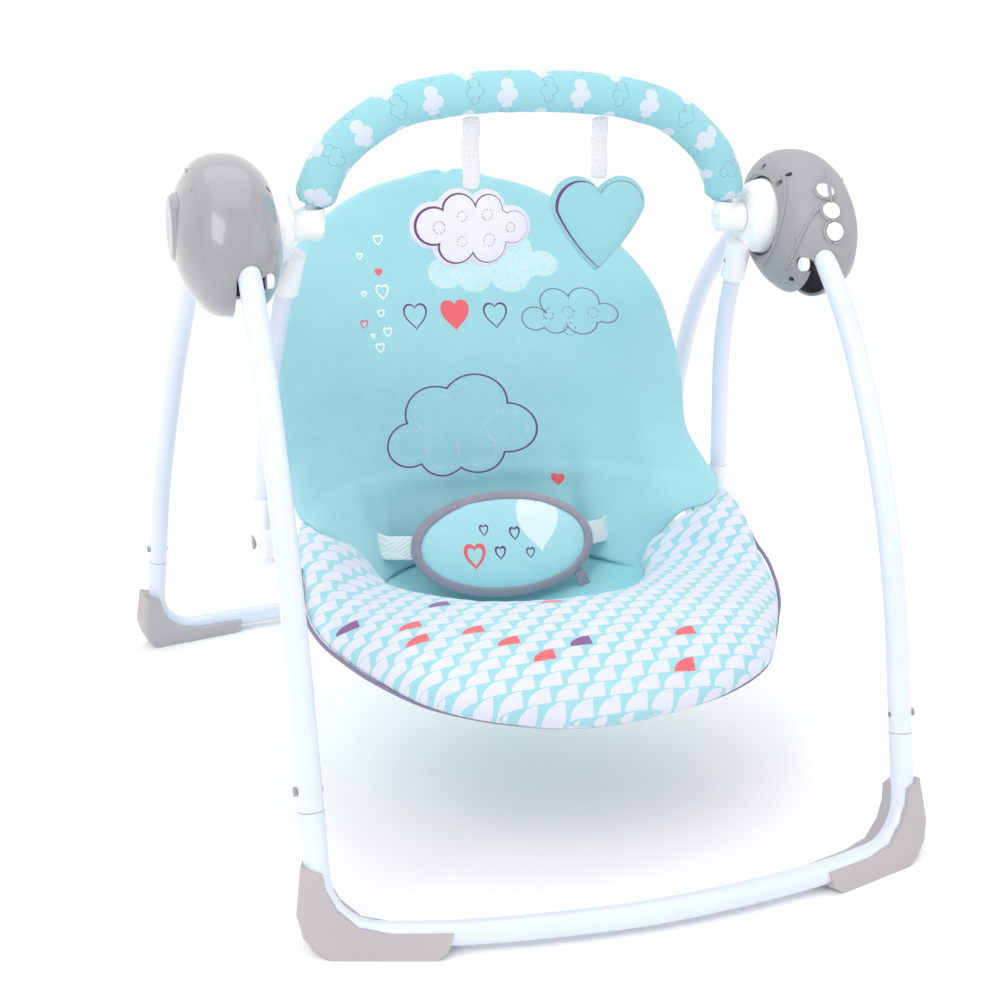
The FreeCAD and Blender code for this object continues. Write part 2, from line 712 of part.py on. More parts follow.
def backrest():
    """Level strips from the seat up to the rounded top: height, half width, edge place, hollow."""
    rows = [(157, 132, 24, 103), (185, 146, 28, 110), (216, 168, 12, 140), (234, 190, -6, 160),
            (246, 203, 8, 150), (262, 203, 40, 122), (288, 201, 84, 84), (331, 205, 108, 72),
            (373, 204, 135, 62), (407, 199, 160, 50), (440, 183, 190, 38), (470, 156, 216, 26),
            (494, 120, 236, 16), (511, 84, 249, 8), (521, 44, 258, 4)]
    thick = Vector(0, 12, 0)
    strips = [
        crescent(at(-wide, edge, z), at(0, edge + hollow, z), at(wide, edge, z), thick)
        for z, wide, edge, hollow in rows]
    return Part.makeLoft(strips, True, False)


def seatPan():
    """Upright strips from the backrest to the front edge: place, half width, edge and middle height."""
    rows = [(131, 30, 161, 160), (118, 61, 161, 155), (98, 91, 161, 147), (67, 117, 162, 138),
            (28, 133, 163, 131), (-20, 125, 162, 129), (-60, 100, 166, 135), (-88, 60, 172, 146),
            (-102, 24, 178, 162)]
    thick = Vector(0, 0, -9)
    strips = [
        crescent(at(-wide, y, edge), at(0, y, middle), at(wide, y, edge), thick)
        for y, wide, edge, middle in rows]
    return Part.makeLoft(strips, True, False)


def frontRoll():
    """The stuffed U-shaped edge: ovals between an inner and an outer edge, half as thick as given."""
    half = [
        (at(204, 8, 244), at(213, -26, 229), 9), (at(188, -9, 234), at(214, -62, 205), 14),
        (at(168, 12, 216), at(213, -93, 188), 18), (at(146, 30, 185), at(207, -118, 181), 21),
        (at(134, 24, 166), at(196, -143, 177), 24), (at(124, -2, 162), at(180, -173, 172), 27),
        (at(103, -36, 166), at(150, -218, 166), 30), (at(72, -70, 172), at(108, -242, 160), 32),
        (at(36, -92, 177), at(55, -252, 153), 34), (at(0, -100, 180), at(0, -255, 150), 34)]
    flip = FreeCAD.Matrix(-1, 0, 0, 0, 0, 1, 0, 0, 0, 0, 1, 0)
    twins = [(flip * inner, flip * outer, high) for inner, outer, high in reversed(half[:-1])]
    places = half + twins
    middles = [(inner + outer) * 0.5 for inner, outer, high in places]
    last = len(places) - 1
    rings = []
    for index, (inner, outer, high) in enumerate(places):
        along = middles[min(index + 1, last)] - middles[max(index - 1, 0)]
        across = outer - middles[index]
        upward = along.cross(across).normalize()
        ellipse = Part.Ellipse(outer, middles[index] + upward * high, middles[index])
        rings.append(Part.Wire(ellipse.toShape()))
    return Part.makeLoft(rings, True, False)


rollSolid = feature("seat_roll", frontRoll())
panSolid = feature("panSolid", seatPan())
keep("seat_roll", rollSolid)
keep("seat_back", cut("seat_back", feature("backSolid", backrest()), rollSolid, panSolid))
keep("seat_pan", cut("seat_pan", panSolid, rollSolid))

# ---------------------------------------------------------------- restraint
padCentre = at(0, 52, 191)
padUp = Vector(0, 0.4, 0.92).normalize()
padOut = Vector(0, -0.92, 0.4).normalize()
padHalfWide = 90
padHalfHigh = 49


def restraintPad():
    body = newBody("restraintBody")
    sketch = sketchOn(body, "restraintOutline")
    oval = Part.Ellipse(Vector(padHalfWide, 0, 0), Vector(0, padHalfHigh, 0), Vector())
    sketch.addGeometry(oval, False)
    pad(body, sketch, "restraintThick", "padDepth", midplane=True)
    body.Placement = Placement(padCentre, Rotation(Vector(1, 0, 0), padUp, padOut, "ZXY"))
    return body


keep("restraint_pad", restraintPad())


def webbing(name, start, end, faceUp):
    """A flat strap between two points."""
    along = end - start
    length = along.Length
    along.normalize()
    rotation = Rotation(along, Vector(), faceUp, "XZY")
    return box(name, (start + end) * 0.5, (length, size("webWide"), 1.6), rotation)


rightWeb = webbing("waistRight", at(94.5, 59, 189), at(116, 71, 190), Vector(0.3, -0.85, 0.4))
crotchWeb = webbing("crotchWeb", at(0, 30, 146.5), at(0, 4, 137), Vector(0, -0.5, 0.87))
group("restraint_straps", rightWeb, mirrored("waistLeft", rightWeb), crotchWeb)

# ---------------------------------------------------------------- works inside the right housing
cellRadius = size("cellRadius")
cellLength = size("cellLength")
cells = []
contacts = []
for column in (-1, 1):
    end = 498 + column * (cellLength / 2 + 0.5)
    contacts.append(box("contact%d" % (column + 1), at(281.5, -5, end), (27, 27, 1)))
    for layer in (-1, 1):
        step = cellRadius + 0.2
        base = at(281.5 + layer * step, -5 + column * step, 498 - cellLength / 2)
        name = "cell%d%d" % (column + 1, layer + 1)
        cells.append(cylinder(name, base, (0, 0, 1), "cellRadius", "cellLength"))
group("batteries", *cells)
group("battery_contacts", *contacts)
keep("drive_motor", cylinder("drive_motor", at(234, 20, 537), (1, 0, 0), 11, 20))
keep("drive_gearbox", box("drive_gearbox", at(247, 36, 502), (20, 22, 24)))
keep("circuit_board", box("circuit_board", at(254, -41, 517), (28, 1.6, 32),
                          Rotation(Vector(1, 0, 0), Vector(), Vector(0, 0.42, 0.9), "ZXY")))
keep("speaker", cylinder("speaker", at(238, 38, 531), (1, 0, 0), 8, 5))
caseScrews = []
for index, (y, z) in enumerate(screwSpots):
    screw = fuse("caseScrew%d" % index,
                 cylinder("caseShank%d" % index, acrossAt(233, y, z), (1, 0, 0), 1.75, 45),
                 cylinder("caseHead%d" % index, acrossAt(231, y, z), (1, 0, 0), 2.8, 2))
    caseScrews += [screw, mirrored("caseScrewLeft%d" % index, screw)]
group("housing_screws", *caseScrews)

# ---------------------------------------------------------------- checks and files
doc.recompute()
faults = [obj.Label for obj in doc.Objects if {"Invalid", "Error"} & set(obj.State)]
for label, obj in nodes.items():
    if obj.Shape.isNull() or not obj.Shape.isValid() or not obj.Shape.Solids:
        faults.append(label)
if faults:
    raise RuntimeError("these objects failed: %s" % faults)

os.makedirs("parts", exist_ok=True)
for label, obj in nodes.items():
    obj.Shape.exportStep("parts/%s.step" % label)
    print("%-24s %d solids  %8.1f cm3" % (label, len(obj.Shape.Solids), obj.Shape.Volume / 1000))
print(len(nodes), "nodes")
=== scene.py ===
import bpy
from math import asin, cos, hypot, pi, radians, sin, sqrt, tau
from mathutils import Matrix, Vector, noise


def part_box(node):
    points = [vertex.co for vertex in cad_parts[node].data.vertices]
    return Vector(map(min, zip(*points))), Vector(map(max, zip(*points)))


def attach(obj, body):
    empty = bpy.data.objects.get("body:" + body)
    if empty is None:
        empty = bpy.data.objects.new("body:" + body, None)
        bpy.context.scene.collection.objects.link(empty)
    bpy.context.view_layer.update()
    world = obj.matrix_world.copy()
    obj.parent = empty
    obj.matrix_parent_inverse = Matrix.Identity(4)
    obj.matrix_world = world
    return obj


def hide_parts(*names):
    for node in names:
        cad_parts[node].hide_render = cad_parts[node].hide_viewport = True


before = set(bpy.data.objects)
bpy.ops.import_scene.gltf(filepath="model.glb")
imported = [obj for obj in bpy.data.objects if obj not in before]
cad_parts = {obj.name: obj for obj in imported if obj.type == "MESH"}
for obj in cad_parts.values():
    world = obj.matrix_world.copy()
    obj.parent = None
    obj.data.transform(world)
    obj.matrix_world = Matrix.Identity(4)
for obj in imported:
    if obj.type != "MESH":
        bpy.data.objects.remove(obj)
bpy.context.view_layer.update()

mm = 0.001
axleBack = -43  # the axle's place behind the middle of the footprint, mm


def linear(code):  # sRGB hex to linear colour
    parts = [int(code[i:i + 2], 16) / 255 for i in (1, 3, 5)]
    return tuple(c / 12.92 if c <= 0.04045 else ((c + 0.055) / 1.055) ** 2.4 for c in parts) + (1,)


def add(tree, kind, *inputs, **named):
    # MIX and the operations of a math node are in capitals; the rest fills sockets, in order or by name
    isMath = kind.isupper() and kind != "MIX"
    node = tree.nodes.new("ShaderNode" + ("Math" if isMath else "MixRGB" if kind == "MIX" else kind))
    if isMath:
        node.operation = kind
    pairs = list(zip(node.inputs, inputs))
    for key, value in named.items():
        if key in node.inputs:
            pairs.append((node.inputs[key], value))
        else:
            setattr(node, key, value)
    for socket, value in pairs:
        if isinstance(value, bpy.types.NodeSocket):
            tree.links.new(value, socket)
        else:
            socket.default_value = linear(value) if isinstance(value, str) else value
    return node.outputs[0]


def newMaterial(name):
    material = bpy.data.materials.new(name)
    material.use_nodes = True
    tree = material.node_tree
    shader = tree.nodes["Principled BSDF"]
    place = add(tree, "TexCoord").node.outputs["Object"]
    return material, tree, shader, place


def mouldedPlastic(name, look):
    # ABS from a polished or lightly sparked mould: even colour, a fine grain that softens reflections
    material, tree, shader, place = newMaterial(name)
    grain = add(tree, "TexNoise", Scale=1 / (look["grain"] * mm), Detail=2.0, Vector=place)
    cloudy = add(tree, "TexNoise", Scale=14.0, Detail=2.0, Vector=place)
    base = add(tree, "MIX", cloudy, look["dark"], look["light"])
    tree.links.new(base, shader.inputs["Base Color"])
    rough = add(tree, "MULTIPLY_ADD", grain, 0.1, look["roughness"] - 0.05)
    tree.links.new(rough, shader.inputs["Roughness"])
    shader.inputs["IOR"].default_value = 1.5
    shader.inputs["Coat Weight"].default_value = look.get("coat", 0.0)
    shader.inputs["Coat Roughness"].default_value = 0.12
    bump = add(tree, "Bump", Strength=1.0, Distance=look["depth"] * mm, Height=grain)
    tree.links.new(bump, shader.inputs["Normal"])
    return material


def powderCoat(name, look):
    # powder-coated steel tube: smooth and glossy with a faint orange peel
    material, tree, shader, place = newMaterial(name)
    peel = add(tree, "TexNoise", Scale=1 / (look["peel"] * mm), Detail=1.0, Vector=place)
    patch = add(tree, "TexNoise", Scale=9.0, Vector=place)
    tree.links.new(add(tree, "MIX", patch, look["dark"], look["light"]), shader.inputs["Base Color"])
    shader.inputs["Roughness"].default_value = look["roughness"]
    shader.inputs["Coat Weight"].default_value = 0.5
    shader.inputs["Coat Roughness"].default_value = 0.08
    bump = add(tree, "Bump", Strength=1.0, Distance=look["peelDepth"] * mm, Height=peel)
    tree.links.new(bump, shader.inputs["Normal"])
    return material


def platedMetal(name, look):
    # plated steel or nickel: metallic with fine turning marks that stretch the highlights
    material, tree, shader, place = newMaterial(name)
    marks = add(tree, "TexNoise", Scale=900.0, Detail=2.0, Vector=place)
    tree.links.new(add(tree, "MIX", marks, look["dark"], look["light"]), shader.inputs["Base Color"])
    shader.inputs["Metallic"].default_value = 1.0
    rough = add(tree, "MULTIPLY_ADD", marks, 0.15, look["roughness"])
    tree.links.new(rough, shader.inputs["Roughness"])
    return material


plasticLooks = {
    "satinGreyAbs": {"dark": "#8F8E93", "light": "#9E9DA2", "roughness": 0.28, "grain": 0.7,
                     "depth": 0.01, "coat": 0.9},
    "softGreyAbs": {"dark": "#97959A", "light": "#A3A1A6", "roughness": 0.42, "grain": 0.7,
                    "depth": 0.03},
    "glossWhiteAbs": {"dark": "#EBEDF2", "light": "#F3F5F8", "roughness": 0.2, "grain": 1.5,
                      "depth": 0.005, "coat": 0.4},
    "warmGreyPolypropylene": {"dark": "#ACA8AB", "light": "#BAB6B9", "roughness": 0.5, "grain": 0.8,
                              "depth": 0.05},
    "whiteKeyRubber": {"dark": "#EDEDEF", "light": "#F5F5F6", "roughness": 0.4, "grain": 0.5,
                       "depth": 0.01},
    "blackAbs": {"dark": "#17171A", "light": "#222226", "roughness": 0.5, "grain": 0.6, "depth": 0.02},
    "greenSolderMask": {"dark": "#14492A", "light": "#1D5E38", "roughness": 0.3, "grain": 1.0,
                        "depth": 0.02},
    "printedCellSleeve": {"dark": "#2E3237", "light": "#4A4E54", "roughness": 0.3, "grain": 2.0,
                          "depth": 0.01},
}
hard = {name: mouldedPlastic(name, look) for name, look in plasticLooks.items()}
hard["whitePowderCoat"] = powderCoat(
    "whitePowderCoat", {"dark": "#D3DAEC", "light": "#DEE5F3", "roughness": 0.3, "peel": 1.6,
                        "peelDepth": 0.03})
hard["zincPlatedSteel"] = platedMetal("zincPlatedSteel",
                                      {"dark": "#8E9092", "light": "#B9BABC", "roughness": 0.28})
hard["nickelPlatedBrass"] = platedMetal("nickelPlatedBrass",
                                        {"dark": "#B5A98A", "light": "#D0C7AC", "roughness": 0.25})

nodeFinishes = {
    "whitePowderCoat": ["rear_leg_left", "rear_leg_right", "rear_base_tube", "front_leg_left",
        "front_leg_right", "front_base_tube", "arm_left", "arm_right", "seat_back_tube",
        "seat_base_tube", "toy_bar_tube"],
    "satinGreyAbs": ["housing_inner_left", "housing_outer_left", "axle_cap_left"],
    "softGreyAbs": ["housing_inner_right", "housing_outer_right", "battery_door"],
    "glossWhiteAbs": ["hub_left", "hub_right", "toy_bar_socket_left", "toy_bar_socket_right",
        "axle_bushing_left", "axle_bushing_right", "recline_bracket_left", "recline_bracket_right",
        "seat_plate_left", "seat_plate_right"],
    "warmGreyPolypropylene": ["front_foot_left", "front_foot_right", "rear_foot_left",
        "rear_foot_right"],
    "whiteKeyRubber": ["power_button", "timer_button", "music_button", "fold_button_left",
        "fold_button_right"],
    "blackAbs": ["speaker", "drive_gearbox"],
    "greenSolderMask": ["circuit_board"],
    "printedCellSleeve": ["batteries"],
    "nickelPlatedBrass": ["battery_contacts"],
    "zincPlatedSteel": ["rear_leg_screws", "front_leg_screws", "housing_screws", "arm_screws",
        "recline_bolts", "axle_left", "axle_right", "drive_motor"],
}
for finish, names in nodeFinishes.items():
    for name in names:
        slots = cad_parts[name].data.materials
        slots.clear()
        slots.append(hard[finish])
print("hard finishes on", sum(map(len, nodeFinishes.values())), "frame nodes")


cameraLook = {"place": (-0.4162, -1.2963, 0.632), "yaw": 17.42, "pitch": 16.23, "roll": 0.61,
              "lens": 54.0}


def setCamera(look):
    yaw, pitch, roll = (radians(look[key]) for key in ("yaw", "pitch", "roll"))
    ahead = Vector((sin(yaw) * cos(pitch), cos(yaw) * cos(pitch), -sin(pitch)))
    level = Vector((cos(yaw), -sin(yaw), 0))
    upright = level.cross(ahead)
    right = level * cos(roll) + upright * sin(roll)
    up = upright * cos(roll) - level * sin(roll)
    data = bpy.data.cameras.new("camera")
    data.lens = look["lens"]
    data.shift_x = 0.0015
    data.shift_y = 0.0012
    camera = bpy.data.objects.new("camera", data)
    bpy.context.scene.collection.objects.link(camera)
    turn = Matrix((right, up, -ahead)).transposed()
    camera.matrix_world = Matrix.Translation(look["place"]) @ turn.to_4x4()
    bpy.context.scene.camera = camera


def newObject(name, data):
    obj = bpy.data.objects.new(name, data)
    bpy.context.scene.collection.objects.link(obj)
    return obj


def makeMesh(name, points, faces, uvs=None, material=None):
    mesh = bpy.data.meshes.new(name)
    mesh.from_pydata([tuple(p) for p in points], [], faces)
    mesh.update()
    if uvs:
        layer = mesh.uv_layers.new(name="cut")
        for loop in mesh.loops:
            layer.data[loop.index].uv = uvs[loop.vertex_index]
    mesh.shade_smooth()
    if material:
        mesh.materials.append(material)
    return newObject(name, mesh)


def areaLight(name, place, target, size, power, colour):
    data = bpy.data.lights.new(name, "AREA")
    data.shape = "SQUARE"
    data.size = size
    data.energy = power
    data.color = linear(colour)[:3]
    light = newObject(name, data)
    light.location = place
    light.rotation_euler = (Vector(target) - Vector(place)).to_track_quat("-Z", "Y").to_euler()


def setStudio():
    scene = bpy.context.scene
    scene.view_settings.view_transform = "Standard"
    world = bpy.data.worlds.new("studio")
    world.use_nodes = True
    world.node_tree.nodes["Background"].inputs[0].default_value = linear("#FFFFFF")
    world.node_tree.nodes["Background"].inputs[1].default_value = 1.0
    scene.world = world
    # seamless paper, matte and nearly white
    material, tree, shader, place = newMaterial("matteBackdropPaper")
    fibre = add(tree, "TexNoise", Scale=300.0, Vector=place)
    tree.links.new(add(tree, "MIX", fibre, "#FDFDFC", "#FFFFFF"), shader.inputs["Base Color"])
    shader.inputs["Roughness"].default_value = 0.9
    reach = 12
    corners = [(-reach, -reach, 0), (reach, -reach, 0), (reach, reach, 0), (-reach, reach, 0)]
    floor = makeMesh("floor", corners, [(0, 1, 2, 3)], material=material)
    areaLight("keyLight", (-1.6, -1.6, 2.4), (0, 0, 0.3), 1.6, 24, "#FFFDF8")
    areaLight("fillLight", (2.2, -1.4, 1.6), (0, 0, 0.3), 2.0, 6, "#F6F9FF")
    areaLight("topLight", (0, 0.4, 2.8), (0, 0, 0.3), 2.4, 12, "#FFFFFF")


setCamera(cameraLook)
setStudio()
print("camera, floor and light are set")


def away(tree, x, z, point):  # x and z measured from a point
    return add(tree, "SUBTRACT", x, point[0]), add(tree, "SUBTRACT", z, point[1])


def heartField(tree, x, z, size, tall=1.0):  # 1 on the outline of a heart half as wide as size
    half = add(tree, "MULTIPLY", add(tree, "ABSOLUTE", x), 2 / size)
    lift = add(tree, "MULTIPLY", add(tree, "SQRT", half), 0.75)
    rise = add(tree, "SUBTRACT", add(tree, "MULTIPLY", z, 2 / (size * tall)), lift)
    return add(tree, "SQRT", add(tree, "MULTIPLY_ADD", half, half, add(tree, "MULTIPLY", rise, rise)))


def cloudField(tree, x, z, puffs, tall=1.0):  # distance outside a cloud of round puffs, mm
    field = None
    for px, pz, radius in puffs:
        dx = add(tree, "SUBTRACT", x, px)
        dz = add(tree, "MULTIPLY", add(tree, "SUBTRACT", z, pz), 1 / tall)
        far = add(tree, "SQRT", add(tree, "MULTIPLY_ADD", dx, dx, add(tree, "MULTIPLY", dz, dz)))
        gap = add(tree, "SUBTRACT", far, radius)
        field = gap if field is None else add(tree, "MINIMUM", field, gap)
    return field


def line(tree, field, level, half):  # a mask, 1 within half of the level
    return add(tree, "LESS_THAN", add(tree, "ABSOLUTE", add(tree, "SUBTRACT", field, level)), half)


def millimetres(tree, place):
    split = add(tree, "SeparateXYZ", place).node
    return [add(tree, "MULTIPLY", axis, 1000.0) for axis in split.outputs]


def weave(tree, shader, place, thread, depth):
    # plain weave, drawn at that thread spacing in mm so that it shows; soft fuzz lifts the edges
    x, y, z = millimetres(tree, place)
    across = add(tree, "SINE", add(tree, "MULTIPLY", x, pi / thread))
    along = add(tree, "SINE", add(tree, "MULTIPLY", add(tree, "ADD", z, add(tree, "MULTIPLY", y, 0.7)),
                                  pi / thread))
    height = add(tree, "MULTIPLY", across, along)
    fuzz = add(tree, "TexNoise", Scale=700.0, Detail=2.0, Vector=place)
    total = add(tree, "MULTIPLY_ADD", fuzz, 0.8, height)
    bump = add(tree, "Bump", Strength=1.0, Distance=depth * mm, Height=total)
    tree.links.new(bump, shader.inputs["Normal"])
    shader.inputs["Roughness"].default_value = 0.85
    shader.inputs["Sheen Weight"].default_value = 0.25
    shader.inputs["Sheen Roughness"].default_value = 0.5
    shader.inputs["Specular IOR Level"].default_value = 0.2
    return x, y, z


cloth = {"lilacWhite": "#DCDEEF", "white": "#F2FBFC", "line": "#6E4B78", "coral": "#EE6C74"}


def dyedGround(tree, place, low="#98D0DA", high="#A8DAE3"):  # slightly uneven dye over the cloth
    patch = add(tree, "TexNoise", Scale=11.0, Detail=3.0, Vector=place)
    return add(tree, "MIX", patch, low, high)


backPrint = {
    # x, z, size and kind of each small heart, mm
    "hearts": [(-81, 461, 10, "white"), (-102, 447, 6, "white"), (-84, 431, 8, "coral"),
    (-82, 412, 14, "white"), (-102, 412, 5, "white"), (-86, 393, 7, "white"),
    (-105, 384, 8, "coralLine"), (-81, 375, 9, "white"), (-97, 373, 4, "white"), (-91, 361, 9, "white"),
    (82, 226, 13, "coral")],
    # a plain row of hearts
    "row": [(-50, 386, 26, "line"), (-8, 385, 30, "coral"), (34, 384, 26, "line")],
    "smallCloud": [(-34, -6, 13), (-12, 10, 15), (16, 11, 15), (36, 0, 11), (12, -8, 15), (-14, -9, 13),
    (0, 0, 14), (24, 0, 12)],
    "smallCloudAt": (108, 389), "paleCloudAt": (36, 436),
    "bigCloud": [(-52, -16, 26), (-24, 12, 32), (18, 20, 34), (50, -6, 30), (18, -26, 28),
    (-18, -28, 26), (0, 0, 34)],
    "bigCloudAt": (-14, 284),
}


def printedBack():
    # printed cotton jersey over wadding: soft matte aqua with thin screen-printed lines
    material, tree, shader, place = newMaterial("printedAquaJersey")
    x, _, z = weave(tree, shader, place, 0.9, 0.12)
    colour = dyedGround(tree, place)
    pale = cloudField(tree, *away(tree, x, z, backPrint["paleCloudAt"]),
                      [(px * 1.45, pz * 1.3, r * 1.4) for px, pz, r in backPrint["smallCloud"]], 0.8)
    speck = add(tree, "TexNoise", Scale=260.0, Vector=place)
    paleMask = add(tree, "MULTIPLY", add(tree, "LESS_THAN", pale, 0.0),
                   add(tree, "MULTIPLY_ADD", speck, 0.5, 0.15))
    colour = add(tree, "MIX", paleMask, colour, cloth["white"])
    small = cloudField(tree, *away(tree, x, z, backPrint["smallCloudAt"]),
                       backPrint["smallCloud"], 0.85)
    colour = add(tree, "MIX", add(tree, "MULTIPLY", line(tree, small, 0.0, 0.7), 0.75), colour,
                 cloth["line"])
    dashes = add(tree, "GREATER_THAN", add(tree, "SINE", add(tree, "MULTIPLY", add(tree, "ADD", x, z),
            1.6)), 0.0)
    curls = cloudField(tree, *away(tree, x, z, backPrint["smallCloudAt"]),
                       [(-20, -2, 5), (0, 0, 5.5), (24, 0, 5), (0, -16, 6)])
    curlMask = add(tree, "MULTIPLY", add(tree, "MULTIPLY", line(tree, curls, 0.0, 0.4), dashes), 0.8)
    colour = add(tree, "MIX", curlMask, colour, cloth["line"])
    big = cloudField(tree, *away(tree, x, z, backPrint["bigCloudAt"]),
                     backPrint["bigCloud"], 0.8)
    colour = add(tree, "MIX", line(tree, big, 0.0, 1.0), colour, cloth["line"])
    stitched = add(tree, "MULTIPLY", line(tree, big, -9.0, 0.6), dashes)
    colour = add(tree, "MIX", add(tree, "MULTIPLY", stitched, 0.7), colour, cloth["lilacWhite"])
    for hx, hz, size, kind in backPrint["hearts"] + backPrint["row"]:
        field = heartField(tree, *away(tree, x, z, (hx, hz)), size, 0.85)
        if kind == "coral":
            colour = add(tree, "MIX", add(tree, "LESS_THAN", field, 1.0), colour, cloth["coral"])
        else:
            ink = {"white": cloth["white"], "coralLine": cloth["coral"], "line": cloth["line"]}[kind]
            colour = add(tree, "MIX", line(tree, field, 0.9, 1.4 / size + 0.02), colour, ink)
    tree.links.new(colour, shader.inputs["Base Color"])
    return material


def scallopPrint():
    # printed cotton jersey: rows of small fans, a few of them coral or plum
    material, tree, shader, place = newMaterial("scallopPrintJersey")
    x, y, z = weave(tree, shader, place, 0.9, 0.12)
    wide, high = 22.5, 11.2  # one fan, mm
    slope = add(tree, "MULTIPLY_ADD", y, 0.88, add(tree, "MULTIPLY", z, 0.55))
    rows = add(tree, "DIVIDE", slope, high)
    row = add(tree, "FLOOR", rows)
    columns = add(tree, "MULTIPLY_ADD", row, 0.5, add(tree, "DIVIDE", x, wide))
    column = add(tree, "FLOOR", columns)
    up = add(tree, "MULTIPLY", add(tree, "SUBTRACT", rows, row), high)
    side = add(tree, "MULTIPLY", add(tree, "SUBTRACT", add(tree, "ADD", column, 1.0), columns),
               wide / 18.8)
    rise = add(tree, "MULTIPLY", up, 1 / 10.7)
    reach = add(tree, "MULTIPLY_ADD", side, side, add(tree, "MULTIPLY", rise, rise))
    fan = add(tree, "LESS_THAN", reach, 1.0)
    cell = add(tree, "CombineXYZ", column, row)
    chance = add(tree, "TexWhiteNoise", noise_dimensions="2D", Vector=cell)
    ink = add(tree, "MIX", add(tree, "GREATER_THAN", chance, 0.962), cloth["lilacWhite"],
              cloth["coral"])
    ink = add(tree, "MIX", add(tree, "GREATER_THAN", chance, 0.985), ink, "#8A5C93")
    colour = add(tree, "MIX", fan, dyedGround(tree, place, "#97CFD9", "#A6D9E2"), ink)
    tree.links.new(colour, shader.inputs["Base Color"])
    return material


def plainCloth(name, low, high, thread=0.9, depth=0.12):
    # dyed woven or knitted cloth of one colour
    material, tree, shader, place = newMaterial(name)
    weave(tree, shader, place, thread, depth)
    tree.links.new(dyedGround(tree, place, low, high), shader.inputs["Base Color"])
    return material


padPrintLook = {"centre": (0, 191), "hearts": [(34, 12, 44, "white"), (-33, -9, 21, "coralLine"),
    (-8, -6, 11, "line"), (8, 10, 11, "line"), (-22, 15, 9, "line"), (22, -8, 9, "line")]}


def printedPad():
    # printed cotton face of the restraint pad
    material, tree, shader, place = newMaterial("printedPadCotton")
    x, _, z = weave(tree, shader, place, 0.9, 0.1)
    colour = dyedGround(tree, place, "#A2D8E1", "#B4E2EA")
    cx, cz = padPrintLook["centre"]
    for hx, hz, size, kind in padPrintLook["hearts"]:
        field = heartField(tree, *away(tree, x, z, (cx + hx, cz + hz)),
                           size, 0.95)
        if kind == "white":
            colour = add(tree, "MIX", add(tree, "MULTIPLY", add(tree, "LESS_THAN", field, 1.0), 0.75),
                         colour, cloth["white"])
        else:
            ink = cloth["coral"] if kind == "coralLine" else cloth["line"]
            colour = add(tree, "MIX", line(tree, field, 0.85, 0.17), colour, ink)
    tree.links.new(colour, shader.inputs["Base Color"])
    return material


def barPrint():
    # printed jersey sleeve: pale clouds and thin line clouds on aqua, placed by length and girth
    material, tree, shader, place = newMaterial("cloudPrintJersey")
    weave(tree, shader, place, 0.9, 0.1)
    uv = add(tree, "UVMap", uv_map="cut")
    split = add(tree, "SeparateXYZ", uv).node
    colour = dyedGround(tree, place, "#8CC9D4", "#9DD3DD")
    pitch = 64.0
    for shift, rise, ink, weight, scale in ((0, 0, cloth["lilacWhite"], 0.85, 0.85),
                                            (32, 27, cloth["lilacWhite"], 0.8, 0.85),
                                            (33, 3, cloth["line"], 0.45, 0.75),
                                            (4, 31, cloth["line"], 0.4, 0.7)):
        u = add(tree, "ADD", split.outputs[0], float(shift))
        v = add(tree, "ADD", split.outputs[1], float(rise))
        u = add(tree, "SUBTRACT", add(tree, "FLOORED_MODULO", u, pitch), pitch / 2)
        v = add(tree, "SUBTRACT", add(tree, "FLOORED_MODULO", v, 54.0), 27.0)
        field = cloudField(tree, u, v, [(0, -10 * scale, 6.5 * scale), (-4 * scale, 0, 6.5 * scale),
                                        (4 * scale, 2 * scale, 6.5 * scale),
                                        (0, 10 * scale, 5.5 * scale)])
        if ink == cloth["line"]:
            mask = line(tree, field, 0.0, 0.35)
        else:
            mask = add(tree, "LESS_THAN", field, 0.0)
        colour = add(tree, "MIX", add(tree, "MULTIPLY", mask, weight), colour, ink)
    tree.links.new(colour, shader.inputs["Base Color"])
    return material


cloudLook = {"centre": (-55, 497), "puffs": [(-34, 4, 20), (-12, 16, 19), (14, 17, 17), (36, 2, 18),
    (14, -12, 20), (-14, -12, 20)], "half": 10}
heartLook = {"centre": (60, 500), "half": 13}


def cloudFace():
    # printed velour: lilac white with a thick plum outline and dotted curls
    material, tree, shader, place = newMaterial("printedCloudVelour")
    x, y, z = weave(tree, shader, place, 0.8, 0.15)
    px, pz = away(tree, x, z, cloudLook["centre"])
    field = cloudField(tree, px, pz, cloudLook["puffs"] + [(0, 2, 22), (20, 2, 20), (-20, 2, 20)])
    colour = dyedGround(tree, place, "#DEDDF0", "#EAEAF7")
    heavy = add(tree, "MULTIPLY_ADD", px, -0.009, 0.6)
    outlineMask = add(tree, "LESS_THAN", add(tree, "ABSOLUTE", add(tree, "ADD", field, 4.5)), heavy)
    front = add(tree, "LESS_THAN", y, axleBack - 14.0)
    colour = add(tree, "MIX", add(tree, "MULTIPLY", outlineMask, front), colour, cloth["line"])
    dots = add(tree, "GREATER_THAN", add(tree, "SINE", add(tree, "MULTIPLY", add(tree, "ADD", px, pz),
            2.4)), 0.0)
    curls = cloudField(tree, px, pz, [(-30, 3, 5), (-10, 12, 4), (12, 13, 4.5), (-10, -9, 4),
                                      (14, -8, 5), (33, 2, 4)])
    mask = add(tree, "MULTIPLY", add(tree, "MULTIPLY", line(tree, curls, 0.0, 0.45), dots), front)
    colour = add(tree, "MIX", add(tree, "MULTIPLY", mask, 0.8), colour, cloth["line"])
    tree.links.new(colour, shader.inputs["Base Color"])
    return material


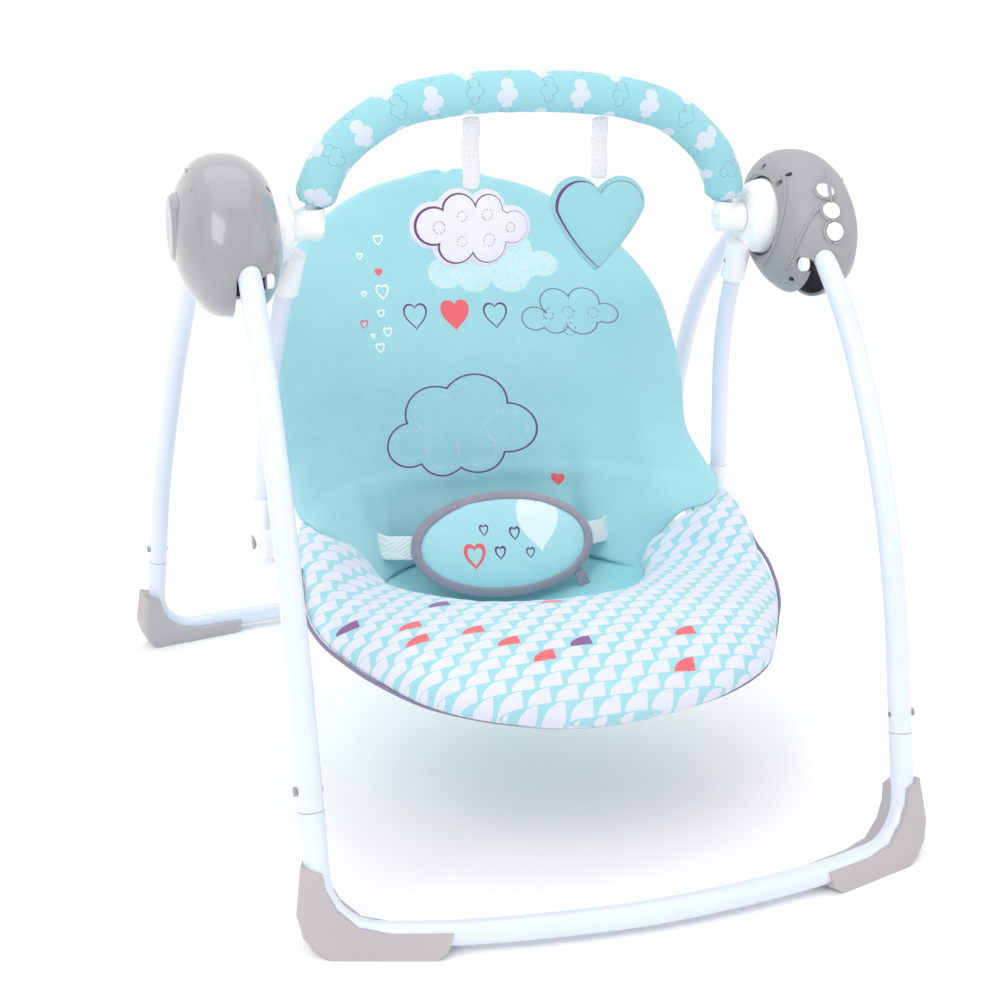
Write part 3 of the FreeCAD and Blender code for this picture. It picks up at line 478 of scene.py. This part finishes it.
def heartFace():
    # printed velour: aqua with a plum line that thickens down the left side
    material, tree, shader, place = newMaterial("printedHeartVelour")
    x, y, z = weave(tree, shader, place, 0.8, 0.15)
    px, pz = away(tree, x, z, heartLook["centre"])
    uv = add(tree, "UVMap", uv_map="cut")
    rim = add(tree, "SeparateXYZ", uv)  # 1 at the face's edge, 0 in its middle
    heavy = add(tree, "MAXIMUM", add(tree, "MULTIPLY_ADD", px, -0.0004, 0.009),
                 add(tree, "MULTIPLY", add(tree, "GREATER_THAN", pz, 20.0), 0.006))
    mask = add(tree, "LESS_THAN", add(tree, "ABSOLUTE", add(tree, "SUBTRACT", rim, 0.90)), heavy)
    front = add(tree, "LESS_THAN", y, axleBack - 14.0)
    ink = add(tree, "MULTIPLY", mask, front)
    colour = add(tree, "MIX", ink, dyedGround(tree, place, "#8CC9D2", "#9DD3DC"), cloth["line"])
    tree.links.new(colour, shader.inputs["Base Color"])
    return material


tapeDepth = 0.3  # relief of woven tape, mm


def wovenTape(name, low, high, pitch):
    # woven polyester tape: rows of small floats with dark pin holes between them
    material, tree, shader, place = newMaterial(name)
    x, y, z = millimetres(tree, place)
    a = add(tree, "SINE", add(tree, "MULTIPLY", add(tree, "ADD", x, y), tau / pitch))
    b = add(tree, "SINE", add(tree, "MULTIPLY", z, tau / pitch))
    height = add(tree, "MULTIPLY", a, b)
    hole = add(tree, "GREATER_THAN", height, 0.62)
    tree.links.new(add(tree, "MIX", hole, high, low), shader.inputs["Base Color"])
    bump = add(tree, "Bump", Strength=1.0, Distance=tapeDepth * mm, Height=height)
    tree.links.new(bump, shader.inputs["Normal"])
    shader.inputs["Roughness"].default_value = 0.8
    shader.inputs["Sheen Weight"].default_value = 0.2
    return material


soft = {
    "back": printedBack(), "roll": scallopPrint(), "pad": printedPad(), "bar": barPrint(),
    "cloud": cloudFace(), "heart": heartFace(),
    "pan": plainCloth("plainAquaJersey", "#8CCFD8", "#9DD8E0"),
    "underside": plainCloth("mauveTwill", "#7F7494", "#958AA8", 1.2, 0.2),
    "binding": plainCloth("mauveGreyBiasTape", "#8F8A9C", "#A9A4B4", 0.7, 0.15),
    "lining": plainCloth("greyLiningMesh", "#6F7480", "#858A96", 1.1, 0.2),
    "ribbon": wovenTape("dottedRibbonTape", "#B9BACB", "#F4F4F9", 2.0),
    "web": wovenTape("whitePolyesterWebbing", "#D3DCE2", "#F1F6F8", 2.4),
}
print("cloth finishes are made")


def spline(values, t):  # Catmull-Rom through rows of numbers, t from 0 to 1
    last = len(values) - 1
    place = min(max(t, 0), 1) * last
    i = min(int(place), last - 1)
    f = place - i
    p0, p1, p2, p3 = (values[min(max(k, 0), last)] for k in (i - 1, i, i + 1, i + 2))
    return [0.5 * (2 * b + (c - a) * f + (2 * a - 5 * b + 4 * c - d) * f * f
                   + (3 * b - a - 3 * c + d) * f ** 3)
            for a, b, c, d in zip(p0, p1, p2, p3)]


def cornerCurve(points, count):  # a smooth curve pulled towards the corners of a route
    out = []
    middles = [points[0]] + [(a + b) / 2 for a, b in zip(points[1:-2], points[2:-1])] + [points[-1]]
    spans = len(middles) - 1
    for k in range(spans * count + 1):
        i = min(k // count, spans - 1)
        f = k / count - i
        a, b, c = middles[i], points[i + 1], middles[i + 1]
        out.append(a * (1 - f) ** 2 + b * 2 * f * (1 - f) + c * f * f)
    return out


def ringFaces(rows, around, closed=False):
    faces = []
    for r in range(rows if closed else rows - 1):
        for a in range(around):
            n = (a + 1) % around
            s = (r + 1) % rows
            faces.append((r * around + a, r * around + n, s * around + n, s * around + a))
    return faces


def circle(centre, side, up, radius, count):
    turns = [tau * k / count for k in range(count)]
    return [centre + (side * cos(turn) + up * sin(turn)) * radius for turn in turns]


def endCaps(rows, around):  # the two flat ends of a tube of rings
    return [tuple(range(around))[::-1], tuple((rows - 1) * around + k for k in range(around))]


def headingAt(path, i, closed=False):  # the path's direction at its point i
    if closed:
        return path[(i + 1) % len(path)] - path[i - 1]
    return path[min(i + 1, len(path) - 1)] - path[max(i - 1, 0)]


def ripple(point, size, seed=0.0):  # smooth noise, about -1 to 1
    return noise.noise(Vector(point) / size + Vector((seed, seed * 1.7, -seed)))


def paddedShell(name, middle, rows, columns, thickness, material, shape=None):
    # a closed padded sheet: middle(u, v) is its middle surface, thickness(u, v) its half thickness, mm
    step = 0.004
    front = []
    back = []
    for r in range(rows):
        v = r / (rows - 1)
        for c in range(columns):
            u = -1 + 2 * c / (columns - 1)
            point = middle(u, v)
            du = middle(min(u + step, 1), v) - middle(max(u - step, -1), v)
            dv = middle(u, min(v + step, 1)) - middle(u, max(v - step, 0))
            normal = du.cross(dv)
            normal = normal.normalized() if normal.length > 1e-9 else Vector((0, -1, 0))
            lift = shape(u, v, point) if shape else 0
            half = thickness(u, v)
            front.append(point + normal * (half + lift))
            back.append(point - normal * (half - lift))
    count = rows * columns
    faces = []
    for r in range(rows - 1):
        for c in range(columns - 1):
            a = r * columns + c
            faces.append((a, a + 1, a + columns + 1, a + columns))
            faces.append((count + a, count + a + columns, count + a + columns + 1, count + a + 1))
    rim = [(0, c) for c in range(columns)] + [(r, columns - 1) for r in range(1, rows)]
    rim += [(rows - 1, c) for c in range(columns - 2, -1, -1)] + [(r, 0) for r in range(rows - 2, 0, -1)]
    for (ra, ca), (rb, cb) in zip(rim, rim[1:] + rim[:1]):
        a = ra * columns + ca
        b = rb * columns + cb
        faces.append((b, a, count + a, count + b))
    points = [p * mm for p in front + back]
    return makeMesh(name, points, faces, material=material)


def puffUp(obj, pressure, cap):
    # air pressure in the cloth gives the loose, filled look; no point moves further than the cap, mm
    scene = bpy.context.scene
    start = [v.co.copy() for v in obj.data.vertices]
    modifier = obj.modifiers.new("filling", "CLOTH")
    settings = modifier.settings
    settings.quality = 4
    settings.mass = 0.2
    settings.tension_stiffness = 12
    settings.compression_stiffness = 12
    settings.bending_stiffness = 0.4
    settings.use_pressure = True
    settings.uniform_pressure_force = pressure
    settings.effector_weights.gravity = 0
    modifier.collision_settings.use_collision = False
    modifier.point_cache.frame_start = 1
    modifier.point_cache.frame_end = 20
    for number in range(1, 21):
        scene.frame_set(number)
    shaped = obj.evaluated_get(bpy.context.evaluated_depsgraph_get()).to_mesh()
    moved = [v.co.copy() for v in shaped.vertices]
    obj.modifiers.remove(modifier)
    scene.frame_set(1)
    for vertex, old, new in zip(obj.data.vertices, start, moved):
        push = new - old
        if push.length > cap * mm:
            push *= cap * mm / push.length
        vertex.co = old + push
    obj.data.update()


def finer(obj, levels=1):
    modifier = obj.modifiers.new("finer", "SUBSURF")
    modifier.levels = levels
    modifier.render_levels = levels


def finish(obj, body, slotName, replaced=(), fill=None):
    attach(obj, body)
    if replaced:
        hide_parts(*replaced)
    return obj


seatBackLook = {
    # height, half width, edge place, hollow, mm
    "rows": [(157, 132, 24, 103), (185, 146, 28, 110), (216, 168, 12, 140), (234, 190, -6, 160),
             (246, 203, 8, 150), (262, 203, 40, 122), (288, 201, 84, 84), (331, 205, 108, 72),
             (373, 204, 135, 62), (407, 199, 160, 50), (440, 183, 190, 38), (470, 156, 216, 26),
             (494, 120, 236, 16), (511, 84, 249, 8), (521, 44, 258, 4), (526, 5, 262, 1)],
    "half": 7.0, "wave": 3.0,
}


def seatBackMiddle(u, v):
    z, wide, edge, hollow = spline(seatBackLook["rows"], v)
    wide = max(wide, 2)
    hollow = max(hollow, 0.3)
    radius = (wide * wide + hollow * hollow) / (2 * hollow)
    share = min(wide / radius, 1)
    turn = asin(share) if hollow <= wide else pi - asin(share)
    angle = u * turn
    return Vector((radius * sin(angle), axleBack + 6 + edge + hollow - radius * (1 - cos(angle)), z))


def seatBackFolds(u, v, point):
    x, z = point.x, point.z
    lift = seatBackLook["wave"] * (ripple(point, 75) + 0.4 * ripple(point, 30, 3))
    waist = max(0, 1 - abs(z - 285) / 55) * max(0, (abs(u) - 0.6) / 0.4)
    lift += 7 * waist * ripple((z * 1.6, x * 0.2, 0), 24, 5)
    lower = max(0, 1 - (z - 190) / 150)
    lift += 5 * lower * ripple((x, z * 0.15, 0), 26, 8)
    lift -= 7 * max(0, 1 - (z - 190) / 70) * max(0, 1 - abs(x - 96) / 9)
    return lift


def makeSeatBack():
    look = seatBackLook

    def thickness(u, v):
        edge = max(1 - abs(u) ** 8, 0) ** 0.5 * max(1 - v ** 30, 0) ** 0.5
        return 0.6 + look["half"] * edge

    rows, columns = 90, 84
    back = paddedShell("seatBack", seatBackMiddle, rows, columns, thickness, soft["back"],
                       seatBackFolds)
    back.data.materials.append(soft["pan"])
    # its faces alternate front and rear; only the front is printed
    sheet = 2 * (rows - 1) * (columns - 1)
    for index in range(1, sheet, 2):
        back.data.polygons[index].material_index = 1
    finer(back)
    finish(back, "seat", "seat_fabric", ["seat_back"], fill=0.45)


makeSeatBack()
print("seat back")

seatPanLook = {
    # place, half width, edge and middle height, mm
    "rows": [(134, 32, 163, 162), (121, 64, 163, 157), (100, 95, 163, 149), (69, 122, 164, 140),
             (30, 139, 165, 133), (-20, 130, 164, 130), (-60, 104, 168, 136), (-88, 64, 174, 147),
             (-102, 28, 180, 163)],
    "half": 4.2,
}


def seatPanMiddle(u, v):
    y, wide, edge, low = spline(seatPanLook["rows"], v)
    # the middle of its thickness
    return Vector((wide * u, axleBack + y, low + (edge - low) * u * u - 4.5))


def makeSeatPan():
    def thickness(u, v):
        return 0.5 + seatPanLook["half"] * max(1 - abs(u) ** 8, 0) ** 0.5

    def folds(u, v, point):
        return 1.6 * ripple(point, 34, 2)

    pan = paddedShell("seatPan", seatPanMiddle, 40, 50, thickness, soft["pan"], folds)
    finer(pan)
    finish(pan, "seat", "seat_fabric", ["seat_pan"], fill=0.4)


makeSeatPan()
print("seat pan")

rollLook = {
    # inner edge x, y, z, outer edge x, y, z and half thickness, mm
    "rings": [(204, 8, 244, 213, -26, 229, 9), (188, -9, 234, 214, -62, 205, 14),
    (168, 12, 216, 213, -93, 188, 18), (146, 30, 185, 207, -118, 181, 21),
    (134, 24, 166, 196, -143, 177, 24), (124, -2, 162, 180, -173, 172, 27),
    (103, -36, 166, 150, -218, 166, 30), (72, -70, 172, 108, -242, 160, 32),
    (36, -92, 177, 55, -252, 153, 34), (0, -100, 180, 0, -255, 150, 34)],
    "along": 130, "around": 60, "seam": -28, "slim": 1.5, "length": 860, "piping": 1.7,
}


def rollRings():
    half = rollLook["rings"]
    twins = [(-ix, iy, iz, -ox, oy, oz, high) for ix, iy, iz, ox, oy, oz, high in reversed(half[:-1])]
    return half + twins


def rollSection(t):  # the section's middle, its half width outwards and its half thickness
    ix, iy, iz, ox, oy, oz, high = spline(rollRings(), t)
    inner = Vector((ix, axleBack + iy, iz))
    outer = Vector((ox, axleBack + oy, oz))
    return (inner + outer) / 2, (outer - inner) / 2, high


def rollPoint(t, angle):
    centre, across, high = rollSection(t)
    along = rollSection(min(t + 0.01, 1))[0] - rollSection(max(t - 0.01, 0))[0]
    outward = across.normalized()
    upward = along.cross(across).normalized()
    wide = across.length - rollLook["slim"]
    high -= rollLook["slim"]
    c, s = cos(angle), sin(angle)
    power = 2 / 2.35
    a = wide * abs(c) ** power * (1 if c > 0 else -1)
    b = high * abs(s) ** power * (1 if s > 0 else -1)
    inner = max(0, -c)
    length = t * rollLook["length"]
    gathers = 2.4 * ripple((length, angle * 8, 0), 15, 4) + 1.6 * ripple((length, 0, 0), 34, 6)
    pucker = inner ** 2 * gathers
    wave = 1.2 * ripple((length, angle * 30, 0), 60, 9)
    lift = 1 + (pucker + wave) / max(hypot(a, b), 8)
    return centre + (outward * a + upward * b) * lift


def makeRoll():
    look = rollLook
    rows, around = look["along"], look["around"]
    points = []
    for r in range(rows):
        for k in range(around):
            points.append(rollPoint(r / (rows - 1), tau * k / around) * mm)
    faces = ringFaces(rows, around)
    for r in (0, rows - 1):
        centre = sum((points[r * around + k] for k in range(around)), Vector()) / around
        points.append(centre)
        tip = len(points) - 1
        for k in range(around):
            pair = (r * around + (k + 1) % around, r * around + k)
            faces.append((tip,) + (pair if r == 0 else pair[::-1]))
    roll = makeMesh("seatRoll", points, faces, material=soft["roll"])
    roll.data.materials.append(soft["underside"])
    low = radians(look["seam"])
    for index, polygon in enumerate(roll.data.polygons[:(rows - 1) * around]):
        angle = tau * ((index % around) + 0.5) / around
        angle = angle - tau if angle > pi else angle
        if -pi * 0.94 < angle < low:
            polygon.material_index = 1
    puffUp(roll, 2.0, 4)
    finer(roll)
    finish(roll, "seat", "trim_fabric", ["seat_roll"], fill=0.75)
    seam = []
    around = 8
    rows = 110
    for r in range(rows):
        t = 0.03 + 0.94 * r / (rows - 1)
        here = rollPoint(t, low)
        forward = (rollPoint(t + 0.004, low) - here).normalized()
        side = forward.cross(Vector((0, 0, 1))).normalized()
        seam += [point * mm for point in circle(here, side, forward.cross(side), look["piping"],
                around)]
    faces = ringFaces(rows, around) + endCaps(rows, around)
    piping = makeMesh("rollPiping", seam, faces, material=soft["underside"])
    finish(piping, "seat", "trim_fabric")


makeRoll()
print("stuffed front edge")

padLook = {"centre": (0, 9, 191), "wide": 88, "high": 47, "half": 8}
padUp = Vector((0, 0.4, 0.92)).normalized()
padOut = Vector((0, -0.92, 0.4)).normalized()


def padPoint(a, b, out=0.0):
    return Vector(padLook["centre"]) + Vector((1, 0, 0)) * a + padUp * b + padOut * out


def ovalMiddle(scale, shiftX=0.0, shiftUp=0.0, out=0.0):
    def middle(u, v):
        w = 1 - 2 * v
        a = u * sqrt(1 - w * w / 2)
        b = w * sqrt(1 - u * u / 2)
        bow = -5 * (a * a)
        return padPoint(a * padLook["wide"] * scale + shiftX, -b * padLook["high"] * scale + shiftUp,
                        out + bow)
    return middle


def ovalThickness(half):
    def thickness(u, v):
        w = 1 - 2 * v
        r = min(hypot(u * sqrt(1 - w * w / 2), w * sqrt(1 - u * u / 2)), 1)
        return 0.5 + half * (1 - r ** 3.2) ** 0.6
    return thickness


def sweptTape(name, path, wide, thick, material, facing, closed=False, crumple=0.0):
    # a rounded strip along a path; facing(i) is its flat side's direction
    around = 12
    points = []
    count = len(path)
    for i, here in enumerate(path):
        forward = headingAt(path, i, closed).normalized()
        side = facing(i).cross(forward).normalized()
        out = forward.cross(side).normalized()
        swell = 1 + crumple * ripple(here, 9, 2)
        for k in range(around):
            c, s = cos(tau * k / around), sin(tau * k / around)
            a = wide / 2 * abs(c) ** 0.5 * (1 if c > 0 else -1)
            b = thick / 2 * abs(s) ** 0.7 * (1 if s > 0 else -1)
            points.append((here + side * a * swell + out * b * swell) * mm)
    faces = ringFaces(count, around, closed)
    if not closed:
        faces += endCaps(count, around)
    return makeMesh(name, points, faces, material=material)


def makeRestraint():
    look = padLook
    pad = paddedShell("restraintPad", ovalMiddle(0.95, out=1.0), 44, 60, ovalThickness(look["half"]),
                      soft["pad"],
                      lambda u, v, p: 0.8 * ripple(p, 22, 7))
    puffUp(pad, 3.0, 3)
    finer(pad)
    finish(pad, "seat", "pad_fabric", ["restraint_pad"], fill=0.6)
    count = 160
    rim = []
    for i in range(count):
        angle = tau * i / count
        a, b = cos(angle), sin(angle)
        rim.append(padPoint(a * look["wide"] * 0.985, b * look["high"] * 0.985, 1 - 5 * a * a))

    def outward(i):
        angle = tau * i / count
        return padOut * 0.86 + Vector((cos(angle), 0, 0)) * 0.5 + padUp * 0.5 * sin(angle)

    binding = sweptTape("padBinding", rim, 10, 6.5, soft["binding"], outward, True, 0.12)
    finer(binding)
    finish(binding, "seat", "pad_fabric")
    lining = paddedShell("padLining", ovalMiddle(0.95, -4, -3, -9), 24, 36, ovalThickness(3.0),
                         soft["lining"],
                         lambda u, v, p: 1.0 * ripple(p, 26, 1))
    finer(lining)
    finish(lining, "seat", "pad_fabric", fill=0.3)
    for side in (-1, 1):
        inner = padPoint(side * 82, 3, -7)
        outer = Vector((side * 111, 31, 189))
        far = Vector((side * 124, 47, 191))
        path = [inner.lerp(outer, t / 8) for t in range(8)] + [outer.lerp(far, t / 6) for t in range(7)]
        strap = sweptTape("waistStrap_%s" % ("left" if side < 0 else "right"), path, 23, 1.8,
                          soft["web"],
                          lambda i: Vector((side * 0.45, -0.85, 0.3)))
        finer(strap)
        finish(strap, "seat", "webbing", ["restraint_straps"] if side < 0 else ())
    path = [padPoint(72 + 3 * t, -30 - 6 * t, -5 - t * t * 0.6) for t in range(6)]
    crotch = sweptTape("crotchStrap", path, 12, 3.0, soft["binding"], lambda i: padOut, False, 0.08)
    finer(crotch)
    finish(crotch, "seat", "webbing")


makeRestraint()
print("restraint pad and straps")

barLook = {
    "points": [(187, 520), (181, 546), (157, 574), (122, 597), (75, 608), (25, 611)],
    "lean": -0.13, "height": 502, "radius": 17.2, "around": 40,
}


def makeSleeve():
    look = barLook
    side = [Vector((x, axleBack + (z - look["height"]) * look["lean"], z)) for x, z in look["points"]]
    corners = side + [Vector((-p.x, p.y, p.z)) for p in reversed(side)]
    path = cornerCurve(corners, 16)
    around = look["around"]
    points = []
    uvs = []
    lengths = [0]
    for a, b in zip(path, path[1:]):
        lengths.append(lengths[-1] + (b - a).length)
    total = lengths[-1]
    plane = Vector((0, 1, -look["lean"])).normalized()
    for i, here in enumerate(path):
        up = plane.cross(headingAt(path, i).normalized()).normalized()
        length = lengths[i]
        end = min(length, total - length)
        gather = 1 - 0.32 * max(0, 1 - end / 9) ** 2
        for k in range(around + 1):
            angle = tau * k / around
            fold = max(0, 1 - end / 30) * 0.8 * sin(angle * 9 + length * 0.1)
            under = max(0, -sin(angle))
            pucker = 0.7 * under * ripple((length, angle * 4, 0), 11, 3)
            soften = 0.5 * ripple((length, angle * 14, 0), 40, 5)
            radius = (look["radius"] + fold + pucker + soften) * gather
            points.append((here + (plane * cos(angle) + up * sin(angle)) * radius) * mm)
            uvs.append((length, angle * look["radius"]))
    faces = []
    rows = len(path)
    for r in range(rows - 1):
        for k in range(around):
            a = r * (around + 1) + k
            faces.append((a, a + around + 1, a + around + 2, a + 1))
    sleeve = makeMesh("toyBarSleeve", points, faces, uvs, soft["bar"])
    finer(sleeve)
    finish(sleeve, "toy_bar", "bar_fabric", ["toy_bar_sleeve"], fill=0.7)
    ends = (("right", path[0], path[1]), ("left", path[-1], path[-2]))
    for sideName, centre, inner in ends:  # a turned-in hem at each end
        inward = (inner - centre).normalized()
        up = plane.cross(inward).normalized()
        ring = []
        for inset, radius in ((0, 12.2), (1.5, 10), (3, 7.0), (8, 6.6)):
            ring += [p * mm for p in circle(centre + inward * inset, plane, up, radius, 32)]
        hem = makeMesh("sleeveHem_" + sideName, ring, ringFaces(4, 32), material=soft["pan"])
        finish(hem, "toy_bar", "bar_fabric")


makeSleeve()
print("toy bar sleeve")


def circleThrough(a, b, c):  # centre and radius
    bx, bz, cx, cz = b[0] - a[0], b[1] - a[1], c[0] - a[0], c[1] - a[1]
    d = 2 * (bx * cz - bz * cx)
    x = (cz * (bx * bx + bz * bz) - bz * (cx * cx + cz * cz)) / d
    z = (bx * (cx * cx + cz * cz) - cx * (bx * bx + bz * bz)) / d
    return (a[0] + x, a[1] + z), hypot(x, z)


def outlineReach(inside, angle, limit):
    low, high = 0.0, limit
    for _ in range(24):
        middle = (low + high) / 2
        if inside(cos(angle) * middle, sin(angle) * middle):
            low = middle
        else:
            high = middle
    return low


def stuffedShape(name, centre, reach, half, rings, around, edge, material):
    # a stuffed toy: its outline is reach(angle), its thickness falls off to a seam at the edge
    points = []
    uvs = []
    x, z = centre
    y = axleBack - 14
    for side in (-1, 1):
        for r in range(1, rings + 1):
            share = r / rings
            depth = half * max(1 - share ** edge, 0) ** 0.5
            for k in range(around):
                angle = tau * k / around
                far = reach(angle) * share
                points.append(Vector((x + cos(angle) * far, y + side * depth,
                                      z + sin(angle) * far)) * mm)
                uvs.append((share, k / around))
        points.append(Vector((x, y + side * half, z)) * mm)
        uvs.append((0, 0))
    faces = []
    span = rings * around + 1
    for s in (0, 1):
        base = s * span
        for k in range(around):
            n = (k + 1) % around
            cap = (base + k, base + n, base + span - 1)
            faces.append(cap[::-1] if s else cap)
            for r in range(rings - 1):
                a = base + r * around
                quad = (a + k, a + around + k, a + around + n, a + n)
                faces.append(quad if s == 0 else quad[::-1])
    last = (rings - 1) * around
    for k in range(around):
        n = (k + 1) % around
        faces.append((last + k, span + last + k, span + last + n, last + n))
    return makeMesh(name, points, faces, uvs, material)


def makeToys():
    puffs = cloudLook["puffs"]

    def inCloud(px, pz):
        return any(hypot(px - a, pz - b) < r for a, b, r in puffs)

    cloud = stuffedShape("cloudToy", cloudLook["centre"], lambda a: outlineReach(inCloud, a, 80),
                         cloudLook["half"],
                         12, 120, 3.0, soft["cloud"])
    puffUp(cloud, 2.0, 2)
    finer(cloud)
    finish(cloud, "cloud", "toy_cloud_fabric", ["cloud_toy"], fill=0.5)

    lobe, lobeRadius = circleThrough((0, 29), (22, 40.5), (44, 12.6))
    flank, flankRadius = circleThrough((44, 12.6), (25.5, -16), (0, -42))

    def inHeart(px, pz):
        if pz > 29 - abs(px) * 0.373:
            return hypot(abs(px) - lobe[0], pz - lobe[1]) < lobeRadius
        return hypot(abs(px) - flank[0], pz - flank[1]) < flankRadius

    heart = stuffedShape("heartToy", heartLook["centre"], lambda a: outlineReach(inHeart, a, 90),
                         heartLook["half"],
                         14, 140, 3.6, soft["heart"])
    puffUp(heart, 2.0, 2)
    finer(heart)
    finish(heart, "heart", "toy_heart_fabric", ["heart_toy"], fill=0.6)
    for name, node, body, x, low in (("cloudRibbon", "cloud_ribbon", "cloud", -55, 530),
                                     ("heartRibbon", "heart_ribbon", "heart", 60, 538)):
        path = [Vector((x + 0.6 * sin(i * 0.8), axleBack - 14 + 0.5 * sin(i * 0.6),
                        590.5 - (590.5 - low) * i / 12))
                for i in range(13)]
        ribbon = sweptTape(name, path, 15, 1.3, soft["ribbon"],
                           lambda i: Vector((0.06 * sin(i * 0.5), -1, 0)))
        finer(ribbon)
        finish(ribbon, body, "ribbon_fabric", [node])


makeToys()
print("toys")

# raised details of the housings, flat black patches of painted shade where its screw recesses are, and
# the joint lines of the legs

caseLook = {
    # the housing's egg profile, from the axle, mm
    "mid": 260, "half": 44, "major": 78, "minor": 57, "tilt": 34, "back": -6, "up": 496, "power": 2.3,
    # y, z, half length, half width of each mark; each mark is a black patch of painted shade standing
    # for a shaded screw recess
    "marks": [(-28.7, 540.7, 3.2, 2.2), (-51.6, 451, 3.0, 2.2), (-75.9, 470.4, 5.2, 2.4)],
    "keys": {"power_button": (0, -0.66, 0.75), "timer_button": (0, -0.83, 0.56),
             "music_button": (0, -0.96, 0.28)},
    "bezel": 9.9, "bezelThick": 1.2,
    # radius from the axle, start and end in degrees of each ridge
    "ridges": [(45, -75, 60), (66, -40, 42)],
}


def casePoint(y, z):  # a point of the right housing's inner face and the way it looks
    look = caseLook
    lean = radians(look["tilt"])
    dy, dz = y - look["back"], z - look["up"]
    value = hypot((dy * -cos(lean) + dz * -sin(lean)) / look["major"],
                  (dy * sin(lean) + dz * -cos(lean)) / look["minor"])
    depth = max(1 - value ** look["power"], 0) ** (1 / look["power"])
    return Vector((look["mid"] - look["half"] * depth, axleBack + y, z))


def caseNormal(y, z):
    here = casePoint(y, z)
    return (casePoint(y, z + 0.5) - here).cross(casePoint(y + 0.5, z) - here).normalized()


def ringStrip(name, path, radius, material, closed):
    around = 10
    points = []
    count = len(path)
    for i, here in enumerate(path):
        forward = headingAt(path, i, closed)
        isLevel = abs(forward.normalized().x) > 0.95
        side = (forward.orthogonal() if isLevel else forward.cross(Vector((1, 0, 0)))).normalized()
        up = forward.cross(side).normalized()
        points += [point * mm for point in circle(here, side, up, radius, around)]
    faces = ringFaces(count, around, closed)
    if not closed:
        faces += endCaps(count, around)
    return makeMesh(name, points, faces, material=material)


def makeCaseDetails():
    look = caseLook
    grey = hard["softGreyAbs"]
    for label, direction in look["keys"].items():
        low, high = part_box(label)
        normal = Vector(direction).normalized()
        middle = (Vector(low) + Vector(high)) / 2 / mm + normal * 2.0
        level = normal.cross(Vector((1, 0, 0))).normalized()
        path = circle(middle, Vector((1, 0, 0)), level, look["bezel"], 48)
        bezel = ringStrip("bezel_" + label, path, look["bezelThick"], grey, True)
        finish(bezel, "rear_frame", "housing_plastic")
    for number, (radius, first, last) in enumerate(look["ridges"]):
        path = []
        for i in range(40):
            angle = radians(first + (last - first) * i / 39)
            y, z = -radius * cos(angle), 502 + radius * sin(angle)
            path.append(casePoint(y, z) + caseNormal(y, z) * 0.2)
        ridge = ringStrip("caseRidge_%d" % number, path, 1.5, grey, False)
        finish(ridge, "rear_frame", "housing_plastic")
    # the screw recesses are not cut: each is a flat black patch of painted shade, 0.25 mm proud of the
    # face
    points = []
    faces = []
    for y, z, long, wide in look["marks"]:
        here, out = casePoint(y, z), caseNormal(y, z)
        side = out.cross(Vector((0, 0.4, 1))).normalized()
        up = out.cross(side)
        first = len(points)
        for lift in (0.25, -1.0):
            for k in range(24):
                c, t = cos(tau * k / 24), sin(tau * k / 24)
                points.append((here + side * long * c + up * wide * t * (1 - 0.3 * c) + out * lift) * mm)
        faces.append(tuple(first + k for k in range(24)))
        faces += [(first + k, first + 24 + k, first + 24 + (k + 1) % 24,
                   first + (k + 1) % 24) for k in range(24)]
    # painted shade: the black plastic finish here stands for the shade inside the screw recesses, not
    # for a black part
    marks = makeMesh("recessShadePatches", points, faces, material=hard["blackAbs"])
    finish(marks, "rear_frame", "housing_plastic")


seamRadius = 9.45  # just proud of the leg tube, mm


def makeLegSeams():
    # the hairline where each leg tube meets its floor tube
    for name, body, point, ahead in (("front", "front_frame", (247, -305, 103), (-0.02, -0.25, -1)),
                                     ("rear", "rear_frame", (304, 313, 103), (0.073, 0.17, -1))):
        for side in (-1, 1):
            down = Vector((ahead[0] * side, ahead[1], ahead[2])).normalized()
            level = down.cross(Vector((0, 1, 0))).normalized()
            front = down.cross(level)
            centre = Vector((point[0] * side, point[1], point[2]))
            path = circle(centre, level, front, seamRadius, 40)
            seam = ringStrip("legSeam_%s_%s" % (name, "left" if side < 0 else "right"), path, 0.35,
                             hard["softGreyAbs"], True)
            finish(seam, body, "frame_tube")


makeCaseDetails()
makeLegSeams()
print("housing details and leg seams")
